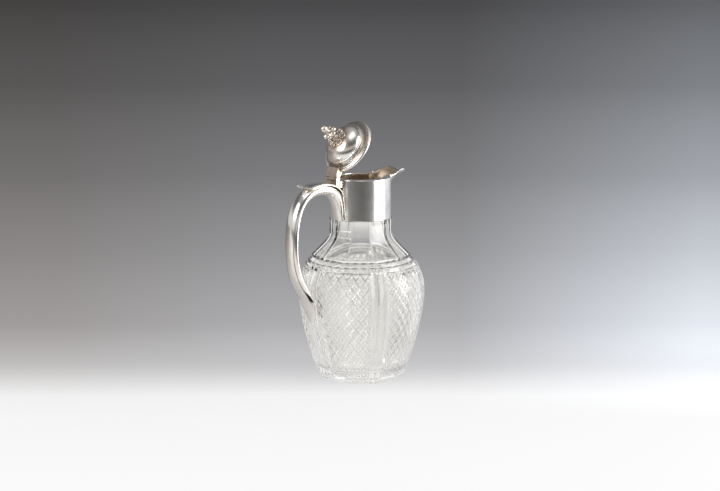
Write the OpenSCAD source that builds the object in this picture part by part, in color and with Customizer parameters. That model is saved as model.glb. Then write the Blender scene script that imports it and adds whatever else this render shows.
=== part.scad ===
// Claret jug: a cut-glass body with silver neck mount, handle and hinged lid.
// The axis of the jug is Z, the spout points along +X and the handle along -X.
// Z = 0 is the plane that the foot stands on. The lid is drawn standing open.

/* [Glass] */
// Radius of the foot where it meets the table
foot_r = 38; // [34:0.5:42]
// Height of the bevel round the foot
foot_bevel_h = 4; // [2:0.5:6]
// How far the bevel opens outwards
foot_bevel_w = 3.2; // [1:0.2:5]
// Largest radius of the body
belly_r = 59; // [54:0.5:64]
// Height of the largest radius
belly_z = 80; // [70:1:88]
// Radius at the upper shoulder ring
ring_r = 45.6; // [42:0.2:49]
// Height of the upper shoulder ring
ring_z = 113.6; // [108:0.2:118]
// Distance down to the lower shoulder ring
ring_gap = 3.9; // [3:0.1:6]
// Radius of the neck on the edges between its panels
neck_r = 29; // [28.6:0.1:30]
// Height where the shoulder has become the neck
neck_foot_z = 135; // [132:1:142]
// Height of the step that the collar stands on
seat_z = 148.7; // [145:0.5:156]
// Thickness of the glass in the body
wall_t = 5.2; // [4:0.1:6.5]
// Thickness of the floor
floor_t = 10; // [7:0.5:14]
// Radius of the bore through the neck
neck_bore_r = 21.7; // [21.6:0.1:22.6]
// Radius of the glass inside the collar
spigot_r = 25; // [24.2:0.1:25.6]

/* [Cutting] */
// Number of fluted pillars, with a field of diamonds between each two
pillars = 5; // [4:1:6]
// Angle that one pillar covers
pillar_deg = 18.6; // [14:0.2:24]
// Turn of the cutting about the axis, from a pillar straight behind
cut_turn = -3.8; // [-12:0.2:12]
// Depth of the two flutes of a pillar
flute_depth = 1.7; // [0.6:0.1:2.4]
// Diamonds side by side in one field
diamonds_across = 6; // [4:1:9]
// Diamonds above one another in one field
diamonds_up = 9; // [6:1:12]
// Depth of the cuts between diamonds
diamond_depth = 2; // [0.5:0.1:2.2]
// Flat panels round the neck
neck_panels = 10; // [8:1:12]
// Depth of the shoulder rings
ring_depth = 1.2; // [0.5:0.1:2]
// Rays of the star under the foot
star_rays = 24; // [12:2:32]
// Radius that the star reaches
star_r = 30; // [20:1:34]
// Depth of the star in the middle
star_depth = 2.4; // [1:0.1:4]

/* [Collar and mouth] */
// Outer radius of the collar
collar_r = 27.5; // [27:0.1:28]
// Height of the collar
collar_h = 38.1; // [34:0.5:44]
// Thickness of the silver sheet
sheet_t = 0.9; // [0.7:0.1:1.2]
// Radius of the opening in the mouth
mouth_r = 20.8; // [20:0.1:21]
// Height of the mouth above the end of the glass
glass_drop = 13.2; // [11:0.2:15]
// How far the mouth tube reaches into the glass
tube_reach = 10; // [4:0.5:14]

/* [Spout] */
// Half the angle of the collar that the spout takes up
spout_deg = 29; // [24:0.5:33]
// Depth of the spout's root below the rim
spout_drop = 12; // [10:0.5:13]
// Depth below the rim that the outside of the spout runs down the collar
spout_skirt = 16.5; // [14:0.5:20]
// Reach of the spout's tip from the axis
spout_reach = 49; // [44:0.2:54]
// Height of the tip above the rim
spout_tip_h = -1; // [-2:0.2:4]
// Reach of the two wings from the axis
wing_reach = 42.4; // [38:0.2:44]
// Half the width between the wings
wing_y = 10.4; // [8:0.2:12]
// Height of the wings above the rim
wing_h = 3.6; // [2:0.1:6]

/* [Handle] */
// Distance of the handle's outermost bend from the axis
handle_reach = 80.6; // [76:0.2:84]
// Height of the top of the handle's middle line above the collar's seat
handle_top = 30.6; // [28:0.2:32]
// Height of the handle's tip
handle_tip_z = 57.6; // [54:0.2:66]
// Thickness of the handle where it is fullest
handle_t = 10.1; // [8:0.1:12]
// Width of the handle where it is fullest
handle_w = 15.5; // [12:0.1:17]
// Clearance between the handle's tip and the glass
tip_gap = 0.3; // [0.2:0.1:1]
// Thickness of the thumb leaf
leaf_t = 1.8; // [1:0.1:2.4]
// Half the width of the leaf
leaf_w = 8; // [5:0.2:9]
// Length of the leaf's free end
leaf_len = 16; // [12:0.5:22]
// Height that the free end curls up
leaf_curl = 3.6; // [1:0.1:6]

/* [Hinge] */
// Distance of the hinge pin behind the axis
hinge_x = 32.8; // [31.8:0.1:33.5]
// Height of the hinge pin above the rim
hinge_h = 1.0; // [0.8:0.1:2.6]
// Radius of the knuckles
knuckle_r = 2.2; // [2:0.1:2.3]
// Radius of the hinge pin
pin_r = 0.9; // [0.7:0.05:1.1]
// Radial clearance of the moving knuckle on its pin
pin_fit = 0.05; // [0.03:0.01:0.1]
// Width of the whole hinge
hinge_w = 14.6; // [13:0.2:16]
// Width of the middle knuckle
mid_w = 7; // [6:0.2:8]
// Clearance beside the middle knuckle
side_fit = 0.15; // [0.1:0.05:0.3]

/* [Lid] */
// Angle that the lid stands open
lid_open = 56; // [0:0.5:95]
// Outer radius of the lid
lid_r = 26.8; // [26:0.1:26.9]
// Gap between the shut lid and the ledge
lid_gap = 0.25; // [0.2:0.05:0.4]
// Height of the rim moulding
rim_wire_h = 3.6; // [2.6:0.1:4.4]
// Width of the rim moulding
rim_wire_w = 2.2; // [1.6:0.1:2.8]
// Radius of the foot of the dome
dome_r = 19.2; // [18:0.1:21]
// Height of the foot of the dome
dome_z = 6.8; // [6:0.1:9]
// Height of the lid's apex
lid_h = 18.6; // [16:0.2:22]
// Thickness of the lid's sheet
lid_t = 0.8; // [0.6:0.1:1]
// Radius of the wire round the foot of the dome
ridge_wire_r = 0.8; // [0.5:0.1:1.1]
// Clearance of the lid's flange in the mouth
bezel_fit = 0.5; // [0.4:0.05:0.8]
// Depth of the flange
bezel_depth = 2; // [1:0.2:3]

/* [Finial] */
// Radius of the petal rosette
calyx_r = 10; // [8:0.5:12]
// Petals of the rosette
calyx_petals = 6; // [5:1:8]
// Lobes of the knop
knop_lobes = 6; // [5:1:8]
// Radius of the knop over its lobes
knop_r = 7.2; // [6:0.1:8]
// Height of the knop's middle above the apex
knop_h = 9; // [8:0.2:11]
// Radius of the ball
ball_r = 3.2; // [2.5:0.1:4]
// Height of the ball's centre above the apex
ball_h = 16.5; // [15:0.5:19]
// Radius of the stud
stud_r = 1.4; // [1:0.1:1.6]
// Radius of the washer inside the lid
washer_r = 4.5; // [3.5:0.5:6]

/* [Hidden] */
$fn = 96;
eps = 0.01;
silver = [0.80, 0.80, 0.79];
silver_dark = [0.68, 0.68, 0.67];
glass = [0.86, 0.90, 0.90, 0.55];
plaster = [0.93, 0.92, 0.88];
rim_z = seat_z + collar_h;
collar_in_r = collar_r - sheet_t;
spigot_z = rim_z - glass_drop;

// ---------------------------------------------------------------- shared forms

// Point at t of the cubic curve with the four poles p
function cubic(p, t) =
    p[0]*pow(1 - t, 3) + 3*p[1]*t*pow(1 - t, 2) + 3*p[2]*t*t*(1 - t) + p[3]*pow(t, 3);

// Ease from 0 to 1 with level ends
function ease(t) = t <= 0 ? 0 : t >= 1 ? 1 : t*t*(3 - 2*t);

function unit(v) = v/norm(v);

// Closed solid through rings of points, each ring with as many points and all the same way round.
// flip(i, j) tells which diagonal splits cell j between rings i and i + 1.
function skin_faces(rings, points, flip) = [
    [for (j = [points - 1:-1:0]) j],
    for (i = [0:rings - 2], j = [0:points - 1])
        let (a = i*points + j, b = i*points + (j + 1)%points, c = a + points, d = b + points)
        each (flip(i, j) ? [[a, b, c], [b, d, c]] : [[a, b, d], [a, d, c]]),
    [for (j = [0:points - 1]) (rings - 1)*points + j]
];

module skin(rings, flip = function (i, j) false) {
    points = [for (ring = rings) each ring];
    polyhedron(points, [for (f = skin_faces(len(rings), len(rings[0]), flip)) [for (k = [len(f) - 1:-1:0]) f[k]]], 4);
}

// ---------------------------------------------------------------- glass body

ring_low_z = ring_z - ring_gap;

// Radius of the uncut body at height z, in two power curves that meet level at the belly
foot_top_r = foot_r + foot_bevel_w;
function body_r(z) =
    z < foot_bevel_h ? foot_r + foot_bevel_w*z/foot_bevel_h
    : z < belly_z ? belly_r - (belly_r - foot_top_r)*pow((belly_z - z)/(belly_z - foot_bevel_h), 1.62)
    : belly_r - (belly_r - ring_r)*pow((z - belly_z)/(ring_z - belly_z), 2.36);

// Heights of the rows of the cut skin: plain foot, diamonds, plain band under the lower ring
field_low_z = foot_bevel_h + 1.6;
field_high_z = ring_low_z - 4.6;
field_rows = 2*diamonds_up;
row_z = [0, foot_bevel_h, for (i = [0:field_rows]) field_low_z + (field_high_z - field_low_z)*i/field_rows,
         ring_low_z - 3.6, ring_low_z - ring_depth, ring_low_z];
first_row = 2;
last_row = first_row + field_rows;

// Columns of one repeat: mitre, edge, flute, ridge, flute, edge, mitre, then the diamonds
sector_deg = 360/pillars;
edge_deg = 1.4;
flute_steps = 4;
pillar_steps = 2*flute_steps + 2;
field_steps = 2*diamonds_across;
repeat_steps = pillar_steps + field_steps;
columns = pillars*repeat_steps;
function column_deg(k) =
    k == 0 ? -pillar_deg/2
    : k <= pillar_steps - 1 ? (pillar_deg - 2*edge_deg)*((k - 1)/(2*flute_steps) - 0.5)
    : pillar_deg/2 + (sector_deg - pillar_deg)*(k - pillar_steps)/field_steps;

// Depth of the cutting at row i and column k of the repeat
function flute(k) = let (u = ((k - 1)%flute_steps)/flute_steps) 4*u*(1 - u);
function run_out(i) = ease(i/first_row)*ease((last_row + 2 - i)/2);
function cut_depth(i, k) =
    k > 0 && k < pillar_steps ? flute_depth*flute(k)*run_out(i)
    : i < first_row || i > last_row ? 0
    : k == 0 || k == pillar_steps || i == first_row || i == last_row ? diamond_depth*0.7
    : (last_row - i + k - pillar_steps)%2 == 1 ? 0
    : diamond_depth;
function ring_cut(i) = i == len(row_z) - 1 ? ring_depth : 0;
function skin_point(i, j) =
    let (k = j%repeat_steps, deg = 180 + cut_turn + sector_deg*floor(j/repeat_steps) + column_deg(k),
         r = body_r(row_z[i]) - cut_depth(i, k) - ring_cut(i))
    [r*cos(deg), r*sin(deg), row_z[i]];

module cut_body() {
    skin([for (i = [0:len(row_z) - 1]) [for (j = [0:columns - 1]) skin_point(i, j)]],
         function (i, j) (i - first_row + j%repeat_steps - pillar_steps)%2 == 0);
}

// Shoulder from the upper ring to the neck, outside and inside
shoulder = [[ring_r, ring_z], [ring_r - 6.1, ring_z + 7.4], [neck_r + 1.4, neck_foot_z - 7.5], [neck_r, neck_foot_z]];
shoulder_in = [[ring_r - 1.25*wall_t, ring_z - 3], [ring_r - 1.25*wall_t - 5, ring_z + 4],
               [neck_bore_r + 0.6, neck_foot_z - 8], [neck_bore_r, neck_foot_z]];

// Neck and shoulder, cut into flat panels whose edges line up with the pillars
module fluted_neck() {
    groove = ring_r - ring_depth - 0.1;
    profile = concat([[0, ring_z - 1], [groove - 0.3, ring_z - 1], [groove, ring_z],
                      [ring_r, ring_z + 0.9*ring_depth]],
                     [for (t = [0.12:0.11:1]) cubic(shoulder, t)],
                     [[neck_r, neck_foot_z + 1], [neck_r, seat_z], [0, seat_z]]);
    rotate(180 + cut_turn)
        rotate_extrude($fn = neck_panels) polygon(profile);
}

// Plain roll of glass between the two rings
module ring_roll() {
    top = ring_r - ring_depth;
    low = body_r(ring_low_z) - ring_depth;
    bulge = ring_depth;
    rotate_extrude()
        polygon(concat([[0, ring_low_z - 1], [low - 1, ring_low_z - 1]],
            [for (t = [0.1:0.1:0.9]) [low - 0.2 + (top - low + 0.2)*t + bulge*sin(180*t), ring_low_z + ring_gap*t]],
            [[top, ring_z], [0, ring_z]]));
}

// Hollow of the jug: a round-cornered floor, the body's own curve less the wall, the bore of the neck
module cavity() {
    corner = 9;
    floor_r = body_r(floor_t + corner) - wall_t - corner;
    top_z = ring_z - 3;
    steps = 12;
    rotate_extrude()
        polygon(concat([[0, floor_t]],
            [for (a = [0:15:75]) [floor_r + corner*sin(a), floor_t + corner - corner*cos(a)]],
            [for (i = [0:steps - 1]) let (z = floor_t + corner + (top_z - floor_t - corner)*i/steps)
                [body_r(z) - wall_t, z]],
            [for (t = [0.1:0.1:1]) cubic(shoulder_in, t)],
            [[neck_bore_r, spigot_z + 1], [0, spigot_z + 1]]));
}

// Star under the foot: mitre cuts that are deepest in the middle and run out in points.
// Two neighbouring cuts meet at the notch radius.
star_slope = star_depth/star_r;
notch_r = star_depth/(sin(180/star_rays) + star_slope);
module star() {
    corners = [for (i = [0:2*star_rays - 1]) let (r = i%2 == 0 ? star_r : notch_r, a = 180*i/star_rays)
        [r*cos(a), r*sin(a), -eps]];
    n = len(corners);
    polyhedron(concat(corners, [[0, 0, star_depth]]),
               concat([[for (i = [0:n - 1]) i]], [for (i = [0:n - 1]) [(i + 1)%n, i, n]]));
}

module glass_body() {
    color(glass)
        difference() {
            union() {
                cut_body();
                ring_roll();
                fluted_neck();
                translate([0, 0, seat_z - 1])
                    cylinder(r = spigot_r, h = spigot_z - seat_z + 1);
            }
            cavity();
            rotate(cut_turn)
                star();
        }
}

// ---------------------------------------------------------------- collar and mouth

module tube(r_out, r_in, z0, z1) {
    translate([0, 0, z0])
        difference() {
            cylinder(r = r_out, h = z1 - z0);
            translate([0, 0, -1])
                cylinder(r = r_in, h = z1 - z0 + 2);
        }
}

module plaster_bed() {
    color(plaster)
        tube(collar_in_r, spigot_r, seat_z, spigot_z);
}

// Root line of the spout on the collar, u from -1 to 1 across: side Y and height Z, for the
// opening cut in the collar and, wider and deeper, for the outside of the spout
side_h = 1.5;
root_square = 4;
skirt_deg = 2;
function root_y(u) = collar_in_r*sin(spout_deg)*sin(90*u);
function root_z(u, drop = spout_drop) = rim_z - side_h - (drop - side_h)*(1 - pow(abs(sin(90*u)), root_square));
function skirt_y(u) = collar_r*sin(spout_deg + skirt_deg)*sin(90*u);
spout_across = 24;

module collar() {
    opening = [for (i = [0:spout_across]) let (u = 2*i/spout_across - 1) [root_y(u), root_z(u)]];
    color(silver)
        difference() {
            tube(collar_r, collar_in_r, seat_z, rim_z);
            multmatrix([[0, 0, 1, 0], [1, 0, 0, 0], [0, 1, 0, 0], [0, 0, 0, 1]])
                linear_extrude(height = collar_r + 5)
                    polygon(concat(opening, [[root_y(1), rim_z + 5], [root_y(-1), rim_z + 5]]));
        }
}

// Edge of the lip: from the rim out over the wings to the tip
function lip(u) =
    let (a = abs(u), s = sign(u),
         start = [sqrt(pow(collar_r, 2) - pow(root_y(1), 2)) + 0.1, root_y(1), 0], wing = [wing_reach, wing_y, wing_h],
         tip = [spout_reach, 0, spout_tip_h],
         along = [8.7, -0.8, 0.25],
         side = [start, start + [7.4, 1.6, -1.1], wing - along, wing],
         front = [wing, wing + 0.4*along, tip + [0, 2.6, 0], tip],
         p = a > 0.5 ? cubic(side, 2*(1 - a)) : cubic(front, 1 - 2*a))
    [p[0], s < 0 ? -p[1] : p[1], rim_z + p[2]];

// Point of the spout: v from the root to the lip edge, outside and inside
function spout_sheet(foot, edge, v) =
    let (rise = edge[2] - foot[2],
         knee = [foot[0] + 0.32*(edge[0] - foot[0]), foot[1] + 0.2*(edge[1] - foot[1]), foot[2] + 0.66*rise],
         low = [foot[0] + 0.1*(edge[0] - foot[0]), foot[1], foot[2] + 0.3*rise])
    cubic([foot, low, knee, edge], v);
function spout_out(u, v) =
    let (y = skirt_y(u)) spout_sheet([sqrt(pow(collar_r, 2) - y*y), y, root_z(u, spout_skirt)], lip(u), v);
function spout_in(u, v) =
    let (y = root_y(u), edge = lip(u) + [-0.35*sheet_t, 0, 0.6*sheet_t])
    spout_sheet([sqrt(pow(collar_in_r, 2) - y*y), y, root_z(u)], edge, v);
function spout_seat(u) = let (y = root_y(u)) [sqrt(pow(collar_r, 2) - y*y), y, root_z(u)];

module spout() {
    down = 9;
    color(silver)
        skin([for (i = [0:spout_across]) let (u = 1 - 2*i/spout_across)
            concat([for (j = [0:down]) spout_out(u, j/down)],
                   [for (j = [down:-1:0]) spout_in(u, j/down)], [spout_seat(u)])]);
}

trough_y = 10.4;
module mouth_liner() {
    trough_z = rim_z - spout_drop;
    color(silver_dark)
        difference() {
            union() {
                tube(collar_in_r, mouth_r, rim_z - sheet_t, rim_z);
                tube(mouth_r + 0.6, mouth_r, spigot_z - tube_reach, rim_z);
                intersection() {
                    tube(collar_in_r, mouth_r, trough_z - sheet_t, rim_z);
                    translate([0, -trough_y - sheet_t, trough_z - sheet_t])
                        cube([collar_r, 2*(trough_y + sheet_t), spout_drop + sheet_t]);
                }
            }
            translate([0, -trough_y, trough_z])
                cube([collar_r + 1, 2*trough_y, spout_drop + 1]);
        }
}

// ---------------------------------------------------------------- handle

// Middle line of the handle in the plane Y = 0, as three joined cubic curves
tip_half_t = 1.17*sheet_t;
top_z = seat_z + handle_top;
bend_z = seat_z - 0.21*handle_reach;
arch_x = -0.608*handle_reach;
tip_x = -(body_r(handle_tip_z) + tip_gap + tip_half_t);
handle_line = [
    [[-1.044*collar_r, seat_z + 0.5], [-1.065*collar_r, seat_z + 0.46*handle_top],
     [-0.92*collar_r, seat_z + 0.967*handle_top], [arch_x, top_z]],
    [[arch_x, top_z], [-0.909*handle_reach, top_z + 0.016*handle_top],
     [-handle_reach, top_z - 0.719*handle_top], [-handle_reach, bend_z]],
    [[-handle_reach, bend_z], [-handle_reach, bend_z - 0.546*handle_reach],
     [tip_x - 0.436*handle_t, handle_tip_z + 0.397*handle_reach], [tip_x, handle_tip_z]]
];
function line_part(t) = min(2, floor(3*t));
function handle_at(t) = let (k = line_part(t)) cubic(handle_line[k], 3*t - k);
function handle_dir(t) = unit(handle_at(min(1, t + 0.004)) - handle_at(max(0, t - 0.004)));

// Half thickness and half width along the handle: full on the arch, slimmer down the side,
// flat and broad where it lies on the glass, then round at the tip
function half_t(t) = 0.5*handle_t*(0.34 + 0.66*ease(t/0.22))*(1 - 0.35*ease((t - 0.35)/0.45))
    - (0.325*handle_t - tip_half_t)*ease((t - 0.72)/0.28);
function half_w(t) = 0.5*handle_w*(1.14 - 0.14*ease(t/0.25))*(1 + 0.1*ease((t - 0.35)/0.3) + 0.42*ease((t - 0.68)/0.2))
    *sqrt(1 - 0.96*pow(max(0, t - 0.86)/0.14, 2.5));

// Point of the handle's skin: a runs from the near side over the outside, at 90, and on round
function handle_point(t, a, grow = 0) =
    let (c = handle_at(t), d = handle_dir(t), n = (half_t(t) + grow)*sin(a), w = (half_w(t) + grow)*cos(a))
    [c[0] + d[1]*n, -w, c[1] - d[0]*n];

handle_steps = 32;
shell_steps = 10;
strip_steps = 12;
seam_deg = 22;
shell_step_deg = (180 - 2*seam_deg)/shell_steps;
strip_step_deg = (180 + 2*seam_deg)/strip_steps;

// Band of sheet between two seams, as one ring of points
function band_ring(t, a0, step_deg, steps) = concat(
    [for (k = [0:steps]) handle_point(t, a0 + step_deg*k)],
    [for (k = [steps:-1:0]) handle_point(t, a0 + step_deg*k, -sheet_t)]);

module past_collar() {
    difference() {
        children();
        translate([0, 0, seat_z - 5])
            cylinder(r = collar_r, h = collar_h + 20);
    }
}

module handle_shell() {
    color(silver)
        past_collar()
            skin([for (i = [0:handle_steps]) band_ring(i/handle_steps, seam_deg, shell_step_deg, shell_steps)]);
}

// The strip ends short of the tip, where the shell lies open against the glass
strip_end = handle_steps - 3;
module handle_strip() {
    color(silver)
        past_collar()
            skin([for (i = [0:strip_end]) band_ring(i/handle_steps, 180 - seam_deg, strip_step_deg, strip_steps)]);
}

// The leaf lies on the crown of the handle from the collar to where it leaves it, then curls up to a point
leaf_first = 5;
leaf_leave = 12;
leaf_free_steps = 8;
leaf_t0 = leaf_leave/handle_steps;
leaf_point_w = 0.5*leaf_t;
seat_angles = [for (k = [3:shell_steps - 3]) seam_deg + shell_step_deg*k];
leaf_across = 8;
leaf_under = half_t(leaf_t0)*sin(seat_angles[0]);
function leaf_line(s) =
    let (c = handle_at(leaf_t0), d = handle_dir(leaf_t0), p = c + [d[1], -d[0]]*leaf_under)
    cubic([p, p + 0.3*leaf_len*d, p + [-0.72*leaf_len, -0.0875*leaf_len], p + [-leaf_len, leaf_curl]], s);
function leaf_normal(s) = let (d = unit(leaf_line(min(1, s + 0.01)) - leaf_line(max(0, s - 0.01)))) [d[1], -d[0]];

// Ring of the leaf about a centre c with normal n: a crowned or dished top, and under it the low points
leaf_crown = half_t(leaf_t0)*(1 - sin(seat_angles[0]));
leaf_dish = 0.28*leaf_t;
function leaf_ring(c, n, w, rise, low) = concat(
    [for (k = [0:leaf_across]) let (v = 2*k/leaf_across - 1, h = leaf_t + rise*(1 - v*v))
        [c[0] + n[0]*h, w*v, c[1] + n[1]*h]],
    [[c[0], w, c[1]]], low, [[c[0], -w, c[1]]]);
function leaf_low_points(s, w) = let (c = leaf_line(s), n = leaf_normal(s))
    [for (a = seat_angles)
        let (sag = (1 - ease(2*s))*half_t(leaf_t0)*(sin(a) - sin(seat_angles[0])) - leaf_dish*ease(2*s)*pow(sin(a), 2))
        [c[0] + n[0]*sag, -half_w(leaf_t0)*cos(a)*w/leaf_w, c[1] + n[1]*sag]];
module thumb_leaf() {
    color(silver)
        past_collar()
            skin(concat(
                [for (i = [leaf_first:leaf_leave])
                    let (t = i/handle_steps, c = handle_at(t), d = handle_dir(t), n = [d[1], -d[0]])
                    leaf_ring(c + n*half_t(t)*sin(seat_angles[0]), n, leaf_w, leaf_crown,
                              [for (a = seat_angles) let (q = handle_point(t, 180 - a)) q])],
                [for (i = [1:leaf_free_steps])
                    let (s = i/leaf_free_steps, w = leaf_w*(1 - pow(s, 2.2)) + leaf_point_w*pow(s, 2.2))
                    leaf_ring(leaf_line(s), leaf_normal(s), w, leaf_crown - (leaf_crown + leaf_dish*(1 - s))*ease(2*s),
                              [for (k = [len(seat_angles) - 1:-1:0]) leaf_low_points(s, w)[k]])]));
}

// ---------------------------------------------------------------- hinge

hinge_z = rim_z + hinge_h;

module knuckle(y0, y1, hole_r) {
    translate([-hinge_x, y0, hinge_z])
        rotate([-90, 0, 0])
            difference() {
                cylinder(r = knuckle_r, h = y1 - y0, $fn = 48);
                translate([0, 0, -1])
                    cylinder(r = hole_r, h = y1 - y0 + 2, $fn = 32);
            }
}

// Solid stretch of handle and leaf under the hinge, to scribe the seat to
module arch_core() {
    skin([for (i = [leaf_first:leaf_leave])
        let (t = i/handle_steps, c = handle_at(t), d = handle_dir(t), n = [d[1], -d[0]],
             top = half_t(t)*sin(seat_angles[0]) + leaf_t)
        [[c[0] + n[0]*top, -leaf_w, c[1] + n[1]*top], [c[0] + n[0]*top, leaf_w, c[1] + n[1]*top],
         [c[0] - n[0], leaf_w, c[1] - n[1]], [c[0] - n[0], -leaf_w, c[1] - n[1]]]]);
}

seat_reach = 2.2;
module hinge_seat() {
    color(silver)
        difference() {
            union() {
                for (s = [0, 1])
                    mirror([0, s, 0])
                        knuckle(mid_w/2 + side_fit, hinge_w/2, pin_r);
                translate([0, -hinge_w/2, 0])
                    rotate([90, 0, 0])
                        mirror([0, 0, 1])
                            linear_extrude(height = hinge_w)
                                polygon([[-hinge_x - seat_reach, rim_z - 7], [-hinge_x - seat_reach, rim_z - 0.6],
                                         [-hinge_x - 1.2, hinge_z - 0.8*knuckle_r], [-hinge_x + 1.2, hinge_z - 0.8*knuckle_r],
                                         [-collar_r + 2, rim_z - 0.8], [-collar_r + 2, rim_z - 7]]);
            }
            arch_core();
            translate([0, 0, seat_z])
                cylinder(r = collar_r, h = collar_h + 5);
            translate([-hinge_x, -mid_w/2 - side_fit, hinge_z])
                rotate([-90, 0, 0])
                    cylinder(r = knuckle_r + 0.3, h = mid_w + 2*side_fit, $fn = 48);
            translate([-hinge_x, -hinge_w/2 - 1, hinge_z])
                rotate([-90, 0, 0])
                    cylinder(r = pin_r, h = hinge_w + 2, $fn = 32);
        }
}

module hinge_pin() {
    head = 0.3;
    color(silver_dark)
        translate([-hinge_x, -hinge_w/2 - head, hinge_z])
            rotate([-90, 0, 0])
                cylinder(r = pin_r, h = hinge_w + 2*head, $fn = 32);
}

// ---------------------------------------------------------------- lid

// The lid is drawn shut, with its own zero at the underside of its rim, and is then swung open
lid_z = rim_z + lid_gap;
module swung() {
    translate([-hinge_x, 0, hinge_z])
        rotate([0, -lid_open, 0])
            translate([hinge_x, 0, lid_z - hinge_z])
                children();
}

// Outline of the lid's sheet at a depth under its surface: wall, hollow curve, dome
wall_r = lid_r - rim_wire_w;
wall_top = rim_wire_h + 0.6;
function sheet_line(depth, first_z) = concat(
    [[wall_r - depth, first_z], [wall_r - depth, wall_top - depth]],
    [for (t = [0.2:0.2:1])
        cubic([[wall_r, wall_top], [dome_r + 0.5, wall_top + 0.6], [dome_r + 0.1, dome_z - 2.4], [dome_r, dome_z]], t)
        - depth*[1, 1 - t*t]],
    [for (a = [10:10:90]) [(dome_r - depth)*cos(a), dome_z + (lid_h - depth - dome_z)*sin(a)]]);

// Solid of the lid up to its outer surface, with or without the mouldings
module lid_form(mouldings = true) {
    rotate_extrude()
        polygon(concat([[0, 0]], sheet_line(0, 0)));
    if (mouldings) {
        rim_wire_form();
        ridge_wire_form();
    }
}
module rim_wire_form() {
    rotate_extrude()
        polygon([for (a = [0:15:180]) [wall_r - 0.2 + (rim_wire_w + 0.2)*sin(a), 0.5*rim_wire_h*(1 - cos(a))]]);
}
module ridge_wire_form() {
    rotate_extrude()
        translate([dome_r + 0.2, dome_z])
            circle(r = ridge_wire_r, $fn = 24);
}

module lid_dome() {
    inside = sheet_line(lid_t, -1);
    color(silver)
        swung()
            difference() {
                lid_form(false);
                rotate_extrude()
                    polygon(concat([[0, -1]], inside));
                translate([0, 0, lid_h - 3])
                    cylinder(r = stud_r + 0.05, h = 6, $fn = 32);
            }
}

module lid_rim_wire() {
    color(silver)
        swung()
            difference() {
                rim_wire_form();
                lid_form(false);
            }
}

module lid_ridge_wire() {
    color(silver)
        swung()
            difference() {
                ridge_wire_form();
                lid_form(false);
            }
}

module lid_bezel() {
    flange_r = mouth_r - bezel_fit;
    color(silver_dark)
        swung() {
            tube(wall_r - lid_t, flange_r - sheet_t, 0, sheet_t);
            tube(flange_r, flange_r - sheet_t, -lid_gap - bezel_depth, 0);
        }
}

// Arm of the lid's hinge: it lies over the rim moulding and is notched round the fixed knuckles
module lid_lug() {
    px = -hinge_x;
    pz = hinge_z - lid_z;
    over = rim_wire_h + 1.6;
    color(silver)
        swung()
            difference() {
                union() {
                    translate([px, -mid_w/2, pz])
                        rotate([-90, 0, 0])
                            cylinder(r = knuckle_r, h = mid_w, $fn = 48);
                    translate([0, -hinge_w/2, 0])
                        rotate([90, 0, 0])
                            mirror([0, 0, 1])
                                linear_extrude(height = hinge_w)
                                    polygon([[px, pz + knuckle_r], [px + 4, over], [-wall_r + 0.6, over + 1.2],
                                             [-dome_r - 0.8, dome_z - 0.6], [-dome_r + 1, dome_z - 1.5], [-wall_r + 1, 0.5],
                                             [px + 2, 0.2], [px, pz - knuckle_r]]);
                }
                lid_form();
                for (s = [0, 1])
                    mirror([0, s, 0])
                        translate([px, mid_w/2, pz])
                            rotate([-90, 0, 0])
                                cylinder(r = knuckle_r + 0.4, h = hinge_w, $fn = 48);
                translate([px, -hinge_w, pz])
                    rotate([-90, 0, 0])
                        cylinder(r = pin_r + pin_fit, h = 2*hinge_w, $fn = 32);
            }
}

// ---------------------------------------------------------------- finial

stud_fit = 0.05;
stem_top = knop_h - 3.2;
petal_r = 0.33*calyx_r;
petal_mid = calyx_r - petal_r;
petal_z = dome_z + (lid_h - dome_z)*sqrt(1 - pow(petal_mid/dome_r, 2));
petal_tilt = atan((lid_h - dome_z)*petal_mid/(dome_r*sqrt(pow(dome_r, 2) - pow(petal_mid, 2))));

// Petal as a shallow cup with a round rim and a boss in its middle
module petal() {
    edge = 0.16*petal_r;
    rotate_extrude($fn = 40)
        polygon(concat([[0, -0.25*petal_r], [0.85*petal_r, -0.25*petal_r]],
            [for (a = [-30:45:150]) [petal_r - edge + edge*cos(a), 0.22*petal_r + edge*sin(a)]],
            [[0.5*petal_r, 0.08*petal_r], [0.2*petal_r, 0.08*petal_r], [0, 0.24*petal_r]]));
}

module finial_calyx() {
    color(silver)
        swung()
            difference() {
                union() {
                    for (i = [0:calyx_petals - 1])
                        rotate(360*i/calyx_petals)
                            translate([petal_mid, 0, petal_z])
                                rotate([0, petal_tilt, 0])
                                    petal();
                    translate([0, 0, lid_h])
                        rotate_extrude($fn = 48)
                            polygon(concat([[0, -1], [3.75, -1], [3.75, 0.9], [3.4, 1.6]],
                                [for (t = [0.2:0.2:0.8]) cubic([[3.4, 1.6], [1.4, 3], [1.6, stem_top - 3], [2.9, stem_top - 0.8]], t)],
                                [[2.9, stem_top - 0.8], [2.9, stem_top], [0, stem_top]]));
                }
                lid_form(false);
                cylinder(r = stud_r + stud_fit, h = 2*lid_h, $fn = 32);
            }
}

module finial_knop() {
    lobe_r = 0.32*knop_r;
    color(silver)
        swung()
            difference() {
                translate([0, 0, lid_h + knop_h]) {
                    sphere(r = knop_r - 1.5*lobe_r, $fn = 48);
                    for (i = [0:knop_lobes - 1])
                        rotate(360*(i + 0.5)/knop_lobes)
                            translate([knop_r - lobe_r, 0, 0])
                                sphere(r = lobe_r, $fn = 32);
                    cylinder(r = stud_r + 0.8, h = ball_h - knop_h - 0.5*ball_r, $fn = 32);
                }
                cylinder(r = stud_r + stud_fit, h = 3*lid_h, $fn = 32);
                cylinder(r = 2*knop_r, h = lid_h + stem_top);
                translate([0, 0, lid_h + ball_h])
                    sphere(r = ball_r);
            }
}

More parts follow.
